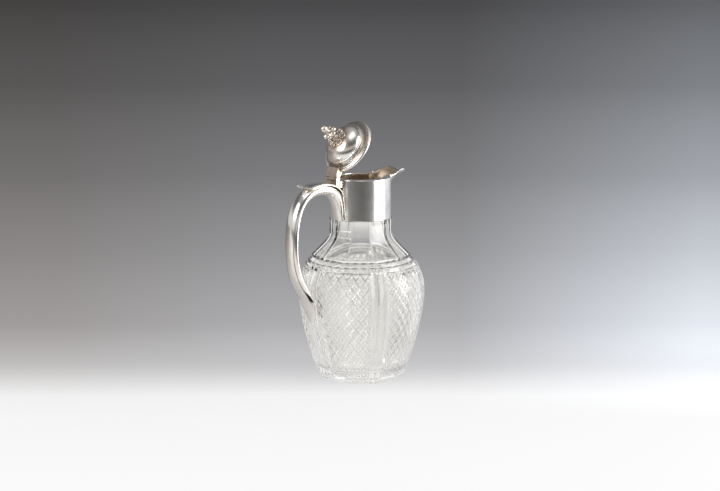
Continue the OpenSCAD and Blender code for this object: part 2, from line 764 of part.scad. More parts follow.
module finial_ball() {
    color(silver)
        swung()
            difference() {
                translate([0, 0, lid_h + ball_h])
                    sphere(r = ball_r);
                cylinder(r = stud_r + stud_fit, h = lid_h + ball_h, $fn = 32);
            }
}

washer_t = 0.8;
nut_h = 2.4;
washer_z = lid_h - lid_t - washer_t;
module finial_stud() {
    color(silver_dark)
        swung()
            translate([0, 0, washer_z - nut_h - 1])
                cylinder(r = stud_r, h = lid_h + ball_h - washer_z + nut_h + 1, $fn = 32);
}

// The washer is dished to the inside of the dome
module finial_washer() {
    function under(r) = dome_z + (lid_h - lid_t - dome_z)*sqrt(1 - pow(r/(dome_r - lid_t), 2));
    color(silver_dark)
        swung()
            difference() {
                translate([0, 0, washer_z])
                    cylinder(r = washer_r, h = washer_t + 0.5);
                difference() {
                    translate([0, 0, washer_z - 1])
                        cylinder(r = washer_r + 2, h = 5);
                    rotate_extrude()
                        polygon(concat([[0, 0]], sheet_line(lid_t, 0)));
                }
                translate([0, 0, washer_z - 1])
                    cylinder(r = stud_r + stud_fit, h = 5, $fn = 32);
            }
}

module finial_nut() {
    color(silver_dark)
        swung()
            translate([0, 0, washer_z - nut_h])
                difference() {
                    cylinder(r = 3.2, h = nut_h, $fn = 6);
                    translate([0, 0, -1])
                        cylinder(r = stud_r, h = nut_h + 2, $fn = 32);
                }
}

glass_body();
plaster_bed();
collar();
spout();
mouth_liner();
handle_shell();
handle_strip();
thumb_leaf();
hinge_seat();
hinge_pin();
lid_lug();
lid_dome();
lid_rim_wire();
lid_ridge_wire();
lid_bezel();
finial_calyx();
finial_knop();
finial_ball();
finial_stud();
finial_washer();
finial_nut();
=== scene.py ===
import bpy
import numpy as np
from mathutils import Matrix


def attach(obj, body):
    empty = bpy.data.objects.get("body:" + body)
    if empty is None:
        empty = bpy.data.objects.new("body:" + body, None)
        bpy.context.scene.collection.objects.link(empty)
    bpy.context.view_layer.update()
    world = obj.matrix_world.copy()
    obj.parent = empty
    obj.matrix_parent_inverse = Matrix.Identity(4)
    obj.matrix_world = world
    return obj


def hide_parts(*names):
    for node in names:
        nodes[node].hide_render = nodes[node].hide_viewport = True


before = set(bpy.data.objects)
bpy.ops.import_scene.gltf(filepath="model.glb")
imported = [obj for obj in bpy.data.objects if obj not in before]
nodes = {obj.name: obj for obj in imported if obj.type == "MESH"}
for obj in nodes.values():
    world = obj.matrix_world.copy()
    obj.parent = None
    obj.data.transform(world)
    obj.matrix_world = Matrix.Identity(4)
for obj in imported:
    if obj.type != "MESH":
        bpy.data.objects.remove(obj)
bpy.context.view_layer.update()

# Camera: a 100 mm lens 1.85 m away, 11 degrees above the table, turned 39.5 degrees
# from the handle's side so that the spout points away to the right.
turn, rise, far_off = np.radians(-39.5), np.radians(11.0), 1.85
aim_height, aim_left = 0.12187, 0.000925
back = np.array([np.sin(turn)*np.cos(rise), -np.cos(turn)*np.cos(rise), np.sin(rise)])
right = np.array([np.cos(turn), np.sin(turn), 0.0])
up = np.cross(back, right)


def stand(name, data):
    """A new object that holds a camera, a lamp or a mesh, put in the scene."""
    o = bpy.data.objects.new(name, data)
    bpy.context.scene.collection.objects.link(o)
    return o


def placed(across, upward, backward, spot):
    """Matrix whose columns are an object's own three axes and its place."""
    return Matrix([[across[i], upward[i], backward[i], spot[i]] for i in range(3)] + [[0, 0, 0, 1]])


lens = bpy.data.cameras.new("camera")
lens.lens = 100.0
lens.sensor_width = 36.0
camera = stand("camera", lens)
camera.matrix_world = placed(right, up, back, np.array([0, 0, aim_height]) + far_off*back - aim_left*right)
bpy.context.scene.camera = camera
bpy.context.scene.view_settings.view_transform = "Standard"

# Table and backdrop: one white sheet with painted light falloff, so that it turns grey behind the jug and
# well in front of it.
# It glows for rays to the camera, off silver and through glass, so that its light is even;
# glass sees it painted paler at the sides and close by, and silver reflects a painted dark patch in front.


def node_tree(name):
    """A new material with its output and a Principled shader; returns material, tree and shader."""
    m = bpy.data.materials.new(name)
    m.use_nodes = True
    return m, m.node_tree, m.node_tree.nodes["Principled BSDF"]


def wire(tree, kind, settings=None, **inputs):
    """Adds one shader node. Each input, called by its name or by its number after an i, is a value or the
    output of another node."""
    n = tree.nodes.new(kind)
    for key, value in (settings or {}).items():
        setattr(n, key, value)
    for key, value in inputs.items():
        numbered = key[0] == "i" and key[1:].isdigit()
        socket = n.inputs[int(key[1:])] if numbered else n.inputs[key.replace("_", " ")]
        if isinstance(value, bpy.types.NodeSocket):
            tree.links.new(value, socket)
        else:
            socket.default_value = value
    return n


def reckon(tree, operation, *values):
    """Output of a Math node that works on one to three values."""
    given = {f"i{k}": value for k, value in enumerate(values)}
    return wire(tree, "ShaderNodeMath", {"operation": operation}, **given).outputs[0]


def ranged(tree, value, start, end, low=0.0, high=1.0, way="LINEAR"):
    """Output that goes from low to high as the value goes from start to end, and stays within them."""
    return wire(tree, "ShaderNodeMapRange", {"interpolation_type": way}, Value=value, From_Min=start,
                From_Max=end, To_Min=low, To_Max=high).outputs[0]


def mixed(tree, share, one, two, way="MIX"):
    """Output of two colours mixed: the first where the share is 0, the second where it is 1."""
    return wire(tree, "ShaderNodeMix", {"data_type": "RGBA", "blend_type": way}, Factor=share, i6=one,
                i7=two).outputs[2]


def ramp(tree, value, stops):
    """Output of a colour ramp, straight between its stops: position and grey, an sRGB level from 0 to 255."""
    n = wire(tree, "ShaderNodeValToRGB", i0=value)
    band = n.color_ramp.elements
    band.remove(band[1])
    for k, (position, level) in enumerate(stops):
        stop = band[0] if k == 0 else band.new(position)
        stop.position = position
        grey = ((level/255.0 + 0.055)/1.055)**2.4
        stop.color = (grey, grey, grey, 1.0)
    return n.outputs[0]


floor_mat, tree, shader = node_tree("table_sheet")
place = wire(tree, "ShaderNodeTexCoord").outputs["Object"]
turned = wire(tree, "ShaderNodeMapping", Vector=place, Rotation=(0, 0, -turn)).outputs[0]
parts = wire(tree, "ShaderNodeSeparateXYZ", Vector=turned)
depth = parts.outputs["Y"]
front_end, far_end = -1.25, 5.0
# Painted light falloff: the white sheet's colour greys with distance in front of and behind the jug
painted_light_fall_off = [(-1.25, 90), (-0.5, 120), (-0.42, 254), (-0.08, 247), (0.03, 205), (0.2, 178), (0.6, 157),
            (1.2, 132), (2.4, 104), (4.8, 80)]
grey = ramp(tree, ranged(tree, depth, front_end, far_end),
            [((d - front_end)/(far_end - front_end), level) for d, level in painted_light_fall_off])

# Side by side painted light makes the sheet warmer on the left and much lighter on the right
slant = reckon(tree, "DIVIDE", parts.outputs["X"], reckon(tree, "ADD", depth, far_off))
painted_side_light = mixed(tree, ranged(tree, slant, -0.15, -0.045), (0.84, 0.80, 0.79, 1), (0.98, 0.98, 1.02, 1))
painted_side_light = mixed(tree, ranged(tree, slant, 0.05, 0.17), painted_side_light, (1.8, 1.88, 2.03, 1))
painted_side_light = mixed(tree, ranged(tree, depth, -0.17, 0.22, way="SMOOTHSTEP"), (1, 1, 1, 1), painted_side_light)
grey = mixed(tree, 1.0, grey, painted_side_light, "MULTIPLY")

path = wire(tree, "ShaderNodeLightPath")
to_camera, off_silver = path.outputs["Is Camera Ray"], path.outputs["Is Glossy Ray"]
through_glass = path.outputs["Is Transmission Ray"]
seen = reckon(tree, "MAXIMUM", to_camera, reckon(tree, "MAXIMUM", off_silver, through_glass))
aside = ranged(tree, reckon(tree, "ABSOLUTE", slant), 0.04, 0.16, 0.0, 0.9)
near = ranged(tree, depth, 0.7, 0.15, 0.0, 0.9)
# Painted light for the glass: the sheet turns pale where glass sees it at the sides and close by
paler = reckon(tree, "MULTIPLY", through_glass, reckon(tree, "MAXIMUM", aside, near))
look = mixed(tree, paler, grey, (1.0, 0.99, 0.96, 1))
# Painted reflection: a dark patch in front of the jug that only silver sees
patch = wire(tree, "ShaderNodeVectorMath", {"operation": "DISTANCE"}, i0=turned, i1=(0.07, -0.95, 0.0))
painted_dark_patch = reckon(tree, "MULTIPLY", ranged(tree, patch.outputs["Value"], 0.1, 0.55, 0.84, 0.0), off_silver)
look = mixed(tree, painted_dark_patch, look, (0.03, 0.027, 0.025, 1))
glow = wire(tree, "ShaderNodeEmission", Color=look, Strength=1.0)
tree.links.new(grey, shader.inputs["Base Color"])
shader.inputs["Roughness"].default_value = 0.9
shader.inputs["Specular IOR Level"].default_value = 0.0
both = wire(tree, "ShaderNodeMixShader", Fac=reckon(tree, "MULTIPLY", seen, 0.8), i1=shader.outputs[0],
            i2=glow.outputs[0])
tree.links.new(both.outputs[0], tree.nodes["Material Output"].inputs["Surface"])

half_table = 9
sheet = bpy.data.meshes.new("table")
sheet.from_pydata([(-half_table, -half_table, 0), (half_table, -half_table, 0), (half_table, half_table, 0),
                   (-half_table, half_table, 0)], [], [(0, 1, 2, 3)])
table = stand("table", sheet)
sheet.materials.append(floor_mat)

# Studio light: two tall soft boxes that stand left and right of the camera, a weaker one
# behind on the right and one overhead. Only the right one shows through the glass.
flat_back = np.array([back[0], back[1], 0])/np.cos(rise)


def soft_box(name, bearing, distance, height, size, power):
    """Area lamp that faces the jug: bearing in degrees to the right of the camera, seen from the jug."""
    d = np.radians(bearing)
    towards = flat_back*np.cos(d) + right*np.sin(d)
    lamp = bpy.data.lights.new(name, "AREA")
    lamp.shape = "RECTANGLE"
    lamp.size, lamp.size_y = size
    lamp.energy = power
    o = stand(name, lamp)
    o.matrix_world = placed(np.cross([0, 0, 1], towards), [0, 0, 1], towards,
                            towards*distance + np.array([0, 0, height]))
    o.visible_camera = False
    o.visible_transmission = False
    return o


soft_box("light_left", -60.0, 0.85, 0.62, (0.42, 0.5), 4.5)
soft_box("light_right", 76.0, 0.80, 0.45, (0.62, 0.9), 8.0).visible_transmission = True
soft_box("light_back", 130.0, 1.1, 0.5, (0.8, 1.0), 1.6)
over = soft_box("light_over", 0.0, 0.0, 0.0, (0.8, 0.6), 1.5)
over.matrix_world = Matrix.Translation((-0.25, -0.25, 1.3))

# Room: grey walls, lightest low down and darkest half way up. Glass sees them white, and
# silver sees a dark screen low down behind the jug, on the side away from the camera.
world = bpy.data.worlds.new("room")
bpy.context.scene.world = world
world.use_nodes = True
tree = world.node_tree
air = tree.nodes["Background"]
path = wire(tree, "ShaderNodeLightPath")
outwards = wire(tree, "ShaderNodeTexCoord").outputs["Generated"]
steep = wire(tree, "ShaderNodeSeparateXYZ", Vector=outwards).outputs["Z"]
walls = [(0.0, 205), (0.2, 215), (0.32, 140), (0.5, 85), (0.7, 115), (0.85, 165), (1.0, 185)]
room = ramp(tree, steep, walls)
onward = wire(tree, "ShaderNodeVectorMath", {"operation": "DOT_PRODUCT"}, i0=outwards, i1=tuple(-flat_back))
ahead = ranged(tree, onward.outputs["Value"], 0.55, 0.9, 0.0, 0.85)
screen = reckon(tree, "MULTIPLY", ahead, ranged(tree, steep, 0.4, 0.25))
dim_room = mixed(tree, screen, room, (0.14, 0.14, 0.15, 1))
lit = mixed(tree, path.outputs["Is Transmission Ray"], dim_room, (1.1, 1.09, 1.06, 1))
tree.links.new(lit, air.inputs["Color"])
air.inputs["Strength"].default_value = 1.0

# Glass body: lead crystal blown thick, then cut on wheels. Fields of crossed diamonds stand
# between five fluted pillars; ten flat panels run up the shoulder and neck; a roll of
# glass lies between two rings, and a star is cut under the foot. It stands loose on its foot.
crystal, tree, shader = node_tree("crystal")

# Its "cut" attribute darkens the colour at the bottoms of the cuts, a painted shade for the dark edges that
# refraction shows in cut glass, and "satin" roughens what the wheel left grey
cut = wire(tree, "ShaderNodeAttribute", {"attribute_name": "cut"}).outputs["Fac"]
satin = wire(tree, "ShaderNodeAttribute", {"attribute_name": "satin"}).outputs["Fac"]
# Painted shade: the cut lines mix the glass's colour towards near black
painted_cut_shade_colour = mixed(tree, cut, (0.997, 0.992, 0.98, 1), (0.02, 0.018, 0.015, 1))
tree.links.new(painted_cut_shade_colour, shader.inputs["Base Color"])
tree.links.new(ranged(tree, satin, 0.0, 1.0, 0.02, 0.2), shader.inputs["Roughness"])
shader.inputs["IOR"].default_value = 1.5
shader.inputs["Transmission Weight"].default_value = 1.0

# Sizes in millimetres and degrees, as in the part's source, and steps of the cutting
cut_turn, sector, pillar, mitre = -3.8, 72.0, 18.6, 1.4
diamond, cross, flute, ring = 2.0, 1.33, 1.7, 1.2
fine, across, up_rows, pillar_steps, pillars = 6, 12, 18, 17, 5
notch_low, notch_high, notch_at, notch_half, notch_depth = 78, 107, 0.41, 0.07, 0.75
foot_r, foot_w, foot_h, belly_r, belly_z = 38.0, 3.2, 4.0, 59.0, 80.0
ring_r, ring_z, ring_low = 45.6, 113.6, 109.7
field_low, field_top, flute_top = 5.6, ring_low - 4.6, 108.5
neck_r, neck_z, neck_wall, seat_z = 29.0, 135.0, 4.0, 148.7
bore_r, spigot_r, spigot_z = 21.7, 25.0, 173.6
wall, floor_z, heel, inner_z = 5.2, 10.0, 9.0, 100


def body_radius(z):
    """Radius of the uncut body: a straight bevel at the foot, then two power curves that meet level
    at the belly."""
    low = belly_r - (belly_r - foot_r - foot_w)*np.clip((belly_z - z)/(belly_z - foot_h), 0, None)**1.62
    high = belly_r - (belly_r - ring_r)*np.clip((z - belly_z)/(ring_z - belly_z), 0, None)**2.36
    return np.where(z < foot_h, foot_r + foot_w*z/foot_h, np.where(z < belly_z, low, high))


def cubic(poles, t):
    """Points at t of the cubic curve with four poles, weighted by (1-t)^3, 3t(1-t)^2, 3t^2(1-t) and t^3."""
    t = np.asarray(t)[..., None]
    p = np.asarray(poles, float)
    return p[0]*(1 - t)**3 + 3*p[1]*t*(1 - t)**2 + 3*p[2]*t*t*(1 - t) + p[3]*t**3


def groove_depth(x):
    """Depth across one set of straight-sided V cuts: deep ones at even x, shallower ones at odd x."""
    away = np.abs((x + 1) % 2 - 1)
    return np.maximum(diamond*(1 - away), cross - diamond*(1 - away))


def notches(b, u, z):
    """Where the ridge of a pillar is notched, from 0 to 1: every other row, between two heights."""
    on_ridge = np.clip(1.5 - np.abs(u - notch_at)/notch_half, 0, 1)
    return on_ridge*((z > notch_low) & (z < notch_high))*(np.round(b*fine) % 2)


def cut_depth(a, b, u, z):
    """Depth of the cutting: in a field two sets of slanting cuts cross, a + b and a - b being the distances
    across them, and a V cut frames the field; on a pillar (where u is not negative) two hollow flutes of
    depth 4v(1-v) meet in a notched ridge."""
    edge = np.minimum(np.minimum(a, across - a), np.minimum(b, up_rows - b))/0.5
    field = np.maximum(groove_depth(a + b), groove_depth(a - b))*np.clip(edge, 0, 1)
    field = np.where(edge < -1e-6, 0, np.maximum(field, 0.7*diamond*(1 - edge)))
    v = np.clip(u, 0, 1)*2 % 1
    fade = np.clip(z/field_low, 0, 1)*np.clip((flute_top - z)/3.4, 0, 1)
    return np.where(u < -1e-6, field, flute*4*v*(1 - v)*fade + notch_depth*notches(b, u, z))


# Columns round the body: u runs over a pillar, a over a field; rows up the field: b
field_steps = np.arange(across*fine)
turn_in_sector = np.r_[-pillar/2, np.linspace(mitre - pillar/2, pillar/2 - mitre, pillar_steps),
                       pillar/2 + (sector - pillar)*field_steps/(across*fine)]
u_in_sector = np.r_[-1, np.linspace(0, 1, pillar_steps), -np.ones(across*fine)]
a_in_sector = np.r_[0, np.zeros(pillar_steps), field_steps/fine]
angle = np.radians(180 + cut_turn + (np.arange(pillars)[:, None]*sector + turn_in_sector).ravel())
u_col, a_col = np.tile(u_in_sector, pillars), np.tile(a_in_sector, pillars)
b_row = np.arange(up_rows*fine + 1)/fine
z_field = field_low + (field_top - field_low)*b_row/up_rows


def cut_rings(z, b):
    """Rings of the cut skin: the body's radius less the depth of the cutting, at each height and angle."""
    r = body_radius(z)[:, None] - cut_depth(a_col[None], b[:, None], u_col[None], z[:, None])
    return np.stack([r*np.cos(angle), r*np.sin(angle), np.broadcast_to(z[:, None], r.shape)], -1)


def round_rings(line):
    """Plain round rings at the points (radius, height) of a line."""
    line = np.asarray(line, float)
    return np.stack([line[:, :1]*np.cos(angle), line[:, :1]*np.sin(angle),
                     np.repeat(line[:, 1:], len(angle), 1)], -1)


def panel_rings(line, sharp=1.0):
    """Ten-sided rings at the points (corner radius, height): the radius times cos 18 over the cosine of
    the angle off the panel's middle. Sharp below 1 rounds the panels."""
    off = np.radians((np.degrees(angle) - 180 - cut_turn) % 36 - 18)
    rings = round_rings(line)
    rings[..., :2] *= (np.cos(np.radians(18))/np.cos(off))[None, :, None]**sharp
    return rings


# Star under the foot: straight edges from each tip, at star_r, to the corners between, at star_corner
star_depth, star_r, star_step = 2.4, 30.0, 15.0
star_turn = (np.degrees(angle) - cut_turn) % star_step
star_half = np.radians(np.minimum(star_turn, star_step - star_turn))
star_tip = np.sin(np.radians(star_step/2))
star_corner = star_depth/(star_tip + star_depth/star_r)
star_bend = star_corner*np.sin(np.radians(star_step/2) - star_half) + star_r*np.sin(star_half)
star_edge = star_r*star_corner*star_tip/star_bend
star_ring = np.stack([star_edge*np.cos(angle), star_edge*np.sin(angle), 0*angle], -1)[None]

# Roll of glass between the two rings, as a slanting line with half a sine wave on it, then the
# shoulder: a hollow cubic curve from the upper ring to the neck
t = np.linspace(0.1, 0.9, 7)
roll_low, roll_top = float(body_radius(ring_low)) - ring - 0.2, ring_r - ring
roll = np.c_[roll_low + (roll_top - roll_low)*t + ring*np.sin(np.pi*t), ring_low + (ring_z - ring_low)*t]
shoulder = cubic([[ring_r, ring_z], [ring_r - 6.1, ring_z + 7.4], [neck_r + 1.4, neck_z - 7.5],
                  [neck_r, neck_z]], np.linspace(0.1, 1, 22))

# Inside: a flat floor with a rounded heel, a wall that follows the body, then the shoulder's own wall
slope = np.gradient(shoulder, axis=0)
slope /= np.linalg.norm(slope, axis=1, keepdims=True)
inner_top = np.r_[shoulder - neck_wall*np.c_[slope[:, 1], -slope[:, 0]],
                  [[neck_r - neck_wall, seat_z - 2.5], [bore_r + 1, seat_z - 0.6]]]
inner_bend = cubic([[float(body_radius(inner_z)) - wall, inner_z],
                    [float(body_radius(inner_z + 4)) - wall, inner_z + 4],
                    inner_top[0] - 2.5*slope[0], inner_top[0]], np.linspace(0, 1, 7)[1:-1])
inner_low_z = np.linspace(floor_z + heel, inner_z, 20)
bend = np.radians(np.linspace(10, 80, 6))
floor_r = float(body_radius(floor_z + heel)) - wall - heel
inside = np.r_[np.c_[floor_r*np.linspace(0.25, 1, 3), np.full(3, floor_z)],
               np.c_[floor_r + heel*np.sin(bend), floor_z + heel - heel*np.cos(bend)],
               np.c_[body_radius(inner_low_z) - wall, inner_low_z], inner_bend]

# All rings: from the star up the outside, over the spigot in the collar and down the inside
rings = np.concatenate([
    star_ring, cut_rings(np.array([0.0, foot_h]), np.array([-2.0, -1.0])), cut_rings(z_field, b_row),
    cut_rings(np.array([106.1, flute_top]), np.array([19.0, 20.0])),
    round_rings([[roll_low + 0.2, ring_low], [roll_low, ring_low]]), round_rings(roll),
    panel_rings(np.r_[[[roll_top - 0.1, ring_z], [ring_r, ring_z + 0.9*ring]], shoulder, [[neck_r, seat_z]]]),
    round_rings([[spigot_r, seat_z], [spigot_r, spigot_z], [bore_r, spigot_z], [bore_r, seat_z + 1]]),
    panel_rings(inner_top[::-1], 0.6), round_rings(inside[::-1])])
first_row = 3
first_smooth = first_row + len(z_field) + 3


def make_mesh(name, points, faces, smooth):
    """Mesh object at the origin from points in millimetres and faces, with whether each face is smooth."""
    mesh = bpy.data.meshes.new(name)
    sides = faces.shape[1]
    mesh.vertices.add(len(points))
    mesh.vertices.foreach_set("co", (np.asarray(points)*0.001).ravel())
    mesh.loops.add(faces.size)
    mesh.loops.foreach_set("vertex_index", faces.astype(np.int32).ravel())
    mesh.polygons.add(len(faces))
    mesh.polygons.foreach_set("loop_start", np.arange(0, faces.size, sides, dtype=np.int32))
    mesh.polygons.foreach_set("use_smooth", np.broadcast_to(smooth, len(faces)).copy())
    mesh.update(calc_edges=True)
    mesh.validate()
    return stand(name, mesh)


def fans(n, m):
    """Triangles that shut the first and last of n rings of m points to two poles, numbered after them."""
    fan = np.arange(m)
    low = np.stack([np.roll(fan, -1), fan, np.full(m, n*m)], -1)
    top = np.stack([(n - 1)*m + fan, (n - 1)*m + np.roll(fan, -1), np.full(m, n*m + 1)], -1)
    return np.concatenate([low, top])


def cut_surface(name, rings, poles, middles):
    """Closed surface through rings, shut by a fan to a pole at each end, with flat faces up to the roll. A
    cell is split along its shorter diagonal, or in the cut rows along the one whose middle lies nearer to
    the radius that the cutting has at the cell's centre."""
    n, m = rings.shape[:2]
    p00 = np.arange((n - 1)*m).reshape(n - 1, m)
    p10 = p00 + m
    p01, p11 = np.roll(p00, -1, 1), np.roll(p10, -1, 1)
    q = rings.reshape(-1, 3)
    ahead = np.linalg.norm(q[p00] - q[p11], axis=-1) < np.linalg.norm(q[p01] - q[p10], axis=-1)
    radius = np.hypot(q[:, 0], q[:, 1])
    rows = slice(first_row, first_row + len(middles))
    ahead[rows] = (np.abs((radius[p00] + radius[p11])[rows]/2 - middles) <
                   np.abs((radius[p01] + radius[p10])[rows]/2 - middles))
    ahead = ahead[..., None]
    one = np.where(ahead, np.stack([p00, p01, p11], -1), np.stack([p00, p01, p10], -1))
    two = np.where(ahead, np.stack([p00, p11, p10], -1), np.stack([p01, p11, p10], -1))
    faces = np.concatenate([np.stack([one, two], 2).reshape(-1, 3), fans(n, m)])
    smooth = np.r_[np.repeat(np.arange(n - 1) >= first_smooth, 2*m), np.zeros(m, bool), np.ones(m, bool)]
    return make_mesh(name, np.concatenate([q, poles]), faces, smooth)


a_next, u_next = np.roll(a_col, -1), np.roll(u_col, -1)
a_mid = (a_next + a_col)/2
a_mid[a_next < a_col] = across - 0.5/fine
u_mid = np.where((u_col < -0.5) & (u_next < -0.5), -1.0, np.clip((u_col + u_next)/2, 0, 1))
b_mid, z_mid = (b_row[1:] + b_row[:-1])/2, (z_field[1:] + z_field[:-1])/2
middles = body_radius(z_mid)[:, None] - cut_depth(a_mid[None], b_mid[:, None], u_mid[None], z_mid[:, None])
jug_glass = cut_surface("cut_glass_body", rings, [[0, 0, star_depth], [0, 0, floor_z]], middles)

# Painted shade: dark bottoms of the cuts in the fields, dark notches, and dark lines along both rings that
# come and go round them
shade, frosted = np.zeros(rings.shape[:2]), np.zeros(rings.shape[:2])
in_field = u_col < -0.5
slants = [a_col[None] + b_row[:, None], a_col[None] - b_row[:, None]]
lines = [np.abs(x - np.round(x)) < 0.05 for x in slants]
deep = [np.abs(x/2 - np.round(x/2)) < 0.02 for x in slants]
top_row = (b_row > up_rows - 1.1)[:, None]
groove = np.where(top_row, 0.95*(deep[0] | deep[1]), 0.36*(lines[0] | lines[1]))
cut_rows = slice(first_row, first_row + len(b_row))
shade[cut_rows] = np.where(in_field, groove, notches(b_row[:, None], u_col[None], z_field[:, None]))
painted_ring_shade = 0.75 + 0.25*np.cos(37*angle)
shade[first_smooth - 1:first_smooth + 2] = painted_ring_shade
shade[first_smooth + len(roll):first_smooth + len(roll) + 2] = painted_ring_shade

# Satin lies on the foot, the cuts and the inner wall; the inside of the shoulder has a faint pattern of
# crossed lines painted into its colour, a painted refraction of the far wall's cuts that the real shoulder
# magnifies
frosted[:first_row] = 1.0
frosted[cut_rows] = np.where(in_field, 0.25, 1.0)
frosted[-len(inside):] = np.where(inside[::-1, 1] < inner_z + 1, 1.5, 0)[:, None]
painted_far_cut_pitch, painted_far_cut_top = 1.6, 129
top_line = inner_top[::-1]
turn_mm = angle*top_line[:, :1]
along_mm = np.cumsum(np.r_[0, np.linalg.norm(np.diff(top_line, axis=0), axis=1)])[:, None]
painted_far_cuts = np.cos(np.pi*(turn_mm + along_mm)/painted_far_cut_pitch)*np.cos(np.pi*(turn_mm - along_mm)/painted_far_cut_pitch)
under_neck = top_line[:, 1:] < painted_far_cut_top
shoulder_rows = slice(-len(inside) - len(inner_top), -len(inside))
shade[shoulder_rows] = 0.35*np.clip(painted_far_cuts, 0, 1)*under_neck
frosted[shoulder_rows] = 0.6*under_neck
for name, values in (("cut", shade), ("satin", frosted)):
    kept = jug_glass.data.attributes.new(name, "FLOAT", "POINT")
    kept.data.foreach_set("value", np.r_[values.ravel(), 0, 0])
jug_glass.data.materials.append(crystal)
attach(jug_glass, "jug")
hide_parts("glass_body")

# Silver surface, built once: polished metal whose colour warms where the polish has worn,
# with a wandering gloss, hair scratches and the slow waves that the hammer leaves. A recess
# turns dark brown: tarnish kept in the hollows, and painted shade in crevices, cups and inner faces.
worn = bpy.data.node_groups.new("worn_silver_tarnish_and_shade", "ShaderNodeTree")
sockets = {"INPUT": {"Vector": "Vector", "Clean": "Color", "Stained": "Color", "Stain": "Float",
                     "Tarnish_and_shade": "Float", "Gloss": "Float", "Wave": "Float"},
           "OUTPUT": {"Color": "Color", "Roughness": "Float", "Normal": "Vector"}}
for side, row in sockets.items():
    for name, kind in row.items():
        worn.interface.new_socket(name, in_out=side, socket_type="NodeSocket" + kind)
given, made = worn.nodes.new("NodeGroupInput"), worn.nodes.new("NodeGroupOutput")
place = given.outputs["Vector"]
cloud = wire(worn, "ShaderNodeTexNoise", Vector=place, Scale=90.0, Detail=4.0, Roughness=0.6).outputs[0]
warmed = reckon(worn, "MULTIPLY", ranged(worn, cloud, 0.42, 0.72), given.outputs["Stain"])
tint = mixed(worn, warmed, given.outputs["Clean"], given.outputs["Stained"])
# Dark brown in recesses: real tarnish, and painted shade where light can't reach
deeper = reckon(worn, "MULTIPLY_ADD", cloud, 0.7, 0.6)
dark_tarnish_and_shade = wire(worn, "ShaderNodeMath", {"operation": "MULTIPLY", "use_clamp": True}, i0=deeper,
             i1=given.outputs["Tarnish_and_shade"]).outputs[0]
tint = mixed(worn, dark_tarnish_and_shade, tint, (0.27, 0.19, 0.12, 1))
gloss = reckon(worn, "MULTIPLY_ADD", cloud, 0.12, given.outputs["Gloss"])
gloss = reckon(worn, "MULTIPLY_ADD", dark_tarnish_and_shade, 0.15, gloss)
drawn = wire(worn, "ShaderNodeMapping", Vector=place, Scale=(2600, 2600, 160), Rotation=(0.3, 0.2, 0.1))
hair = wire(worn, "ShaderNodeTexNoise", Vector=drawn.outputs[0], Scale=1.0, Detail=3.0).outputs[0]
slow = wire(worn, "ShaderNodeTexNoise", Vector=place, Scale=55.0, Detail=1.0).outputs[0]
waves = reckon(worn, "MULTIPLY", slow, given.outputs["Wave"])
height = reckon(worn, "MULTIPLY_ADD", hair, 0.0000007, waves)
bump = wire(worn, "ShaderNodeBump", Strength=1.0, Distance=1.0, Height=height).outputs[0]
for name, value in (("Color", tint), ("Roughness", gloss), ("Normal", bump)):
    worn.links.new(value, made.inputs[name])


def silver_finish(name, clean, stained, stain, gloss, wave):
    """A silver material: worn silver with its own colours, stain, gloss and depth of waves in metres."""
    m, tree, shader = node_tree(name)
    effect = tree.nodes.new("ShaderNodeGroup")
    effect.node_tree = worn
    shade_and_tarnish = wire(tree, "ShaderNodeAttribute", {"attribute_name": "shade_and_tarnish"})
    tree.links.new(wire(tree, "ShaderNodeTexCoord").outputs["Object"], effect.inputs["Vector"])
    tree.links.new(shade_and_tarnish.outputs["Fac"], effect.inputs["Tarnish_and_shade"])
    effect.inputs["Clean"].default_value = (*clean, 1)
    effect.inputs["Stained"].default_value = (*stained, 1)
    effect.inputs["Stain"].default_value = stain
    effect.inputs["Gloss"].default_value = gloss
    effect.inputs["Wave"].default_value = wave
    tree.links.new(effect.outputs["Color"], shader.inputs["Base Color"])
    tree.links.new(effect.outputs["Roughness"], shader.inputs["Roughness"])
    tree.links.new(effect.outputs["Normal"], shader.inputs["Normal"])
    shader.inputs["Metallic"].default_value = 1.0
    return m


# Collar: a plain seamed tube of sheet silver, slipped over the neck on to the glass step and
# bedded in plaster. The opening for the spout is sawn out of its front.
collar_r, sheet, rim_z = 27.5, 0.9, 186.8
opening_half, opening_drop = (collar_r - sheet)*np.sin(np.radians(29)), 12.0


def root_height(y, half, drop):
    """Height of the spout's root: 1.5 mm below the rim at its sides, falling by the fourth power of y/half
    to the drop."""
    return rim_z - 1.5 - (drop - 1.5)*(1 - np.abs(y/half)**4)


def hooped(name, grid):
    """Closed smooth surface over a grid that joins up both ways, such as a collar or a wire ring, of quads,
    turned outwards by the sign of its volume."""
    n, m = grid.shape[:2]
    p = np.arange(n*m).reshape(n, m)
    above = np.roll(p, -1, 0)
    faces = np.stack([p, np.roll(p, -1, 1), np.roll(above, -1, 1), above], -1).reshape(-1, 4)
    q = grid.reshape(-1, 3)
    a, b, c, d = (q[faces[:, k]] for k in range(4))
    if (np.cross(b - a, c - a)*a).sum() + (np.cross(c - a, d - a)*a).sum() < 0:
        faces = faces[:, ::-1]
    return make_mesh(name, q, faces, True)


def fit(piece, material, body, node, shade_and_tarnish=None):
    """Gives a finished piece its material and its body, hides the node that it stands for, and stores how far
    each point is darkened, from 0 to 1, by tarnish kept in a recess and by painted shade."""
    if shade_and_tarnish is not None:
        kept = piece.data.attributes.new("shade_and_tarnish", "FLOAT", "POINT")
        kept.data.foreach_set("value", np.asarray(shade_and_tarnish, float))
    piece.data.materials.append(material)
    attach(piece, body)
    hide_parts(node)


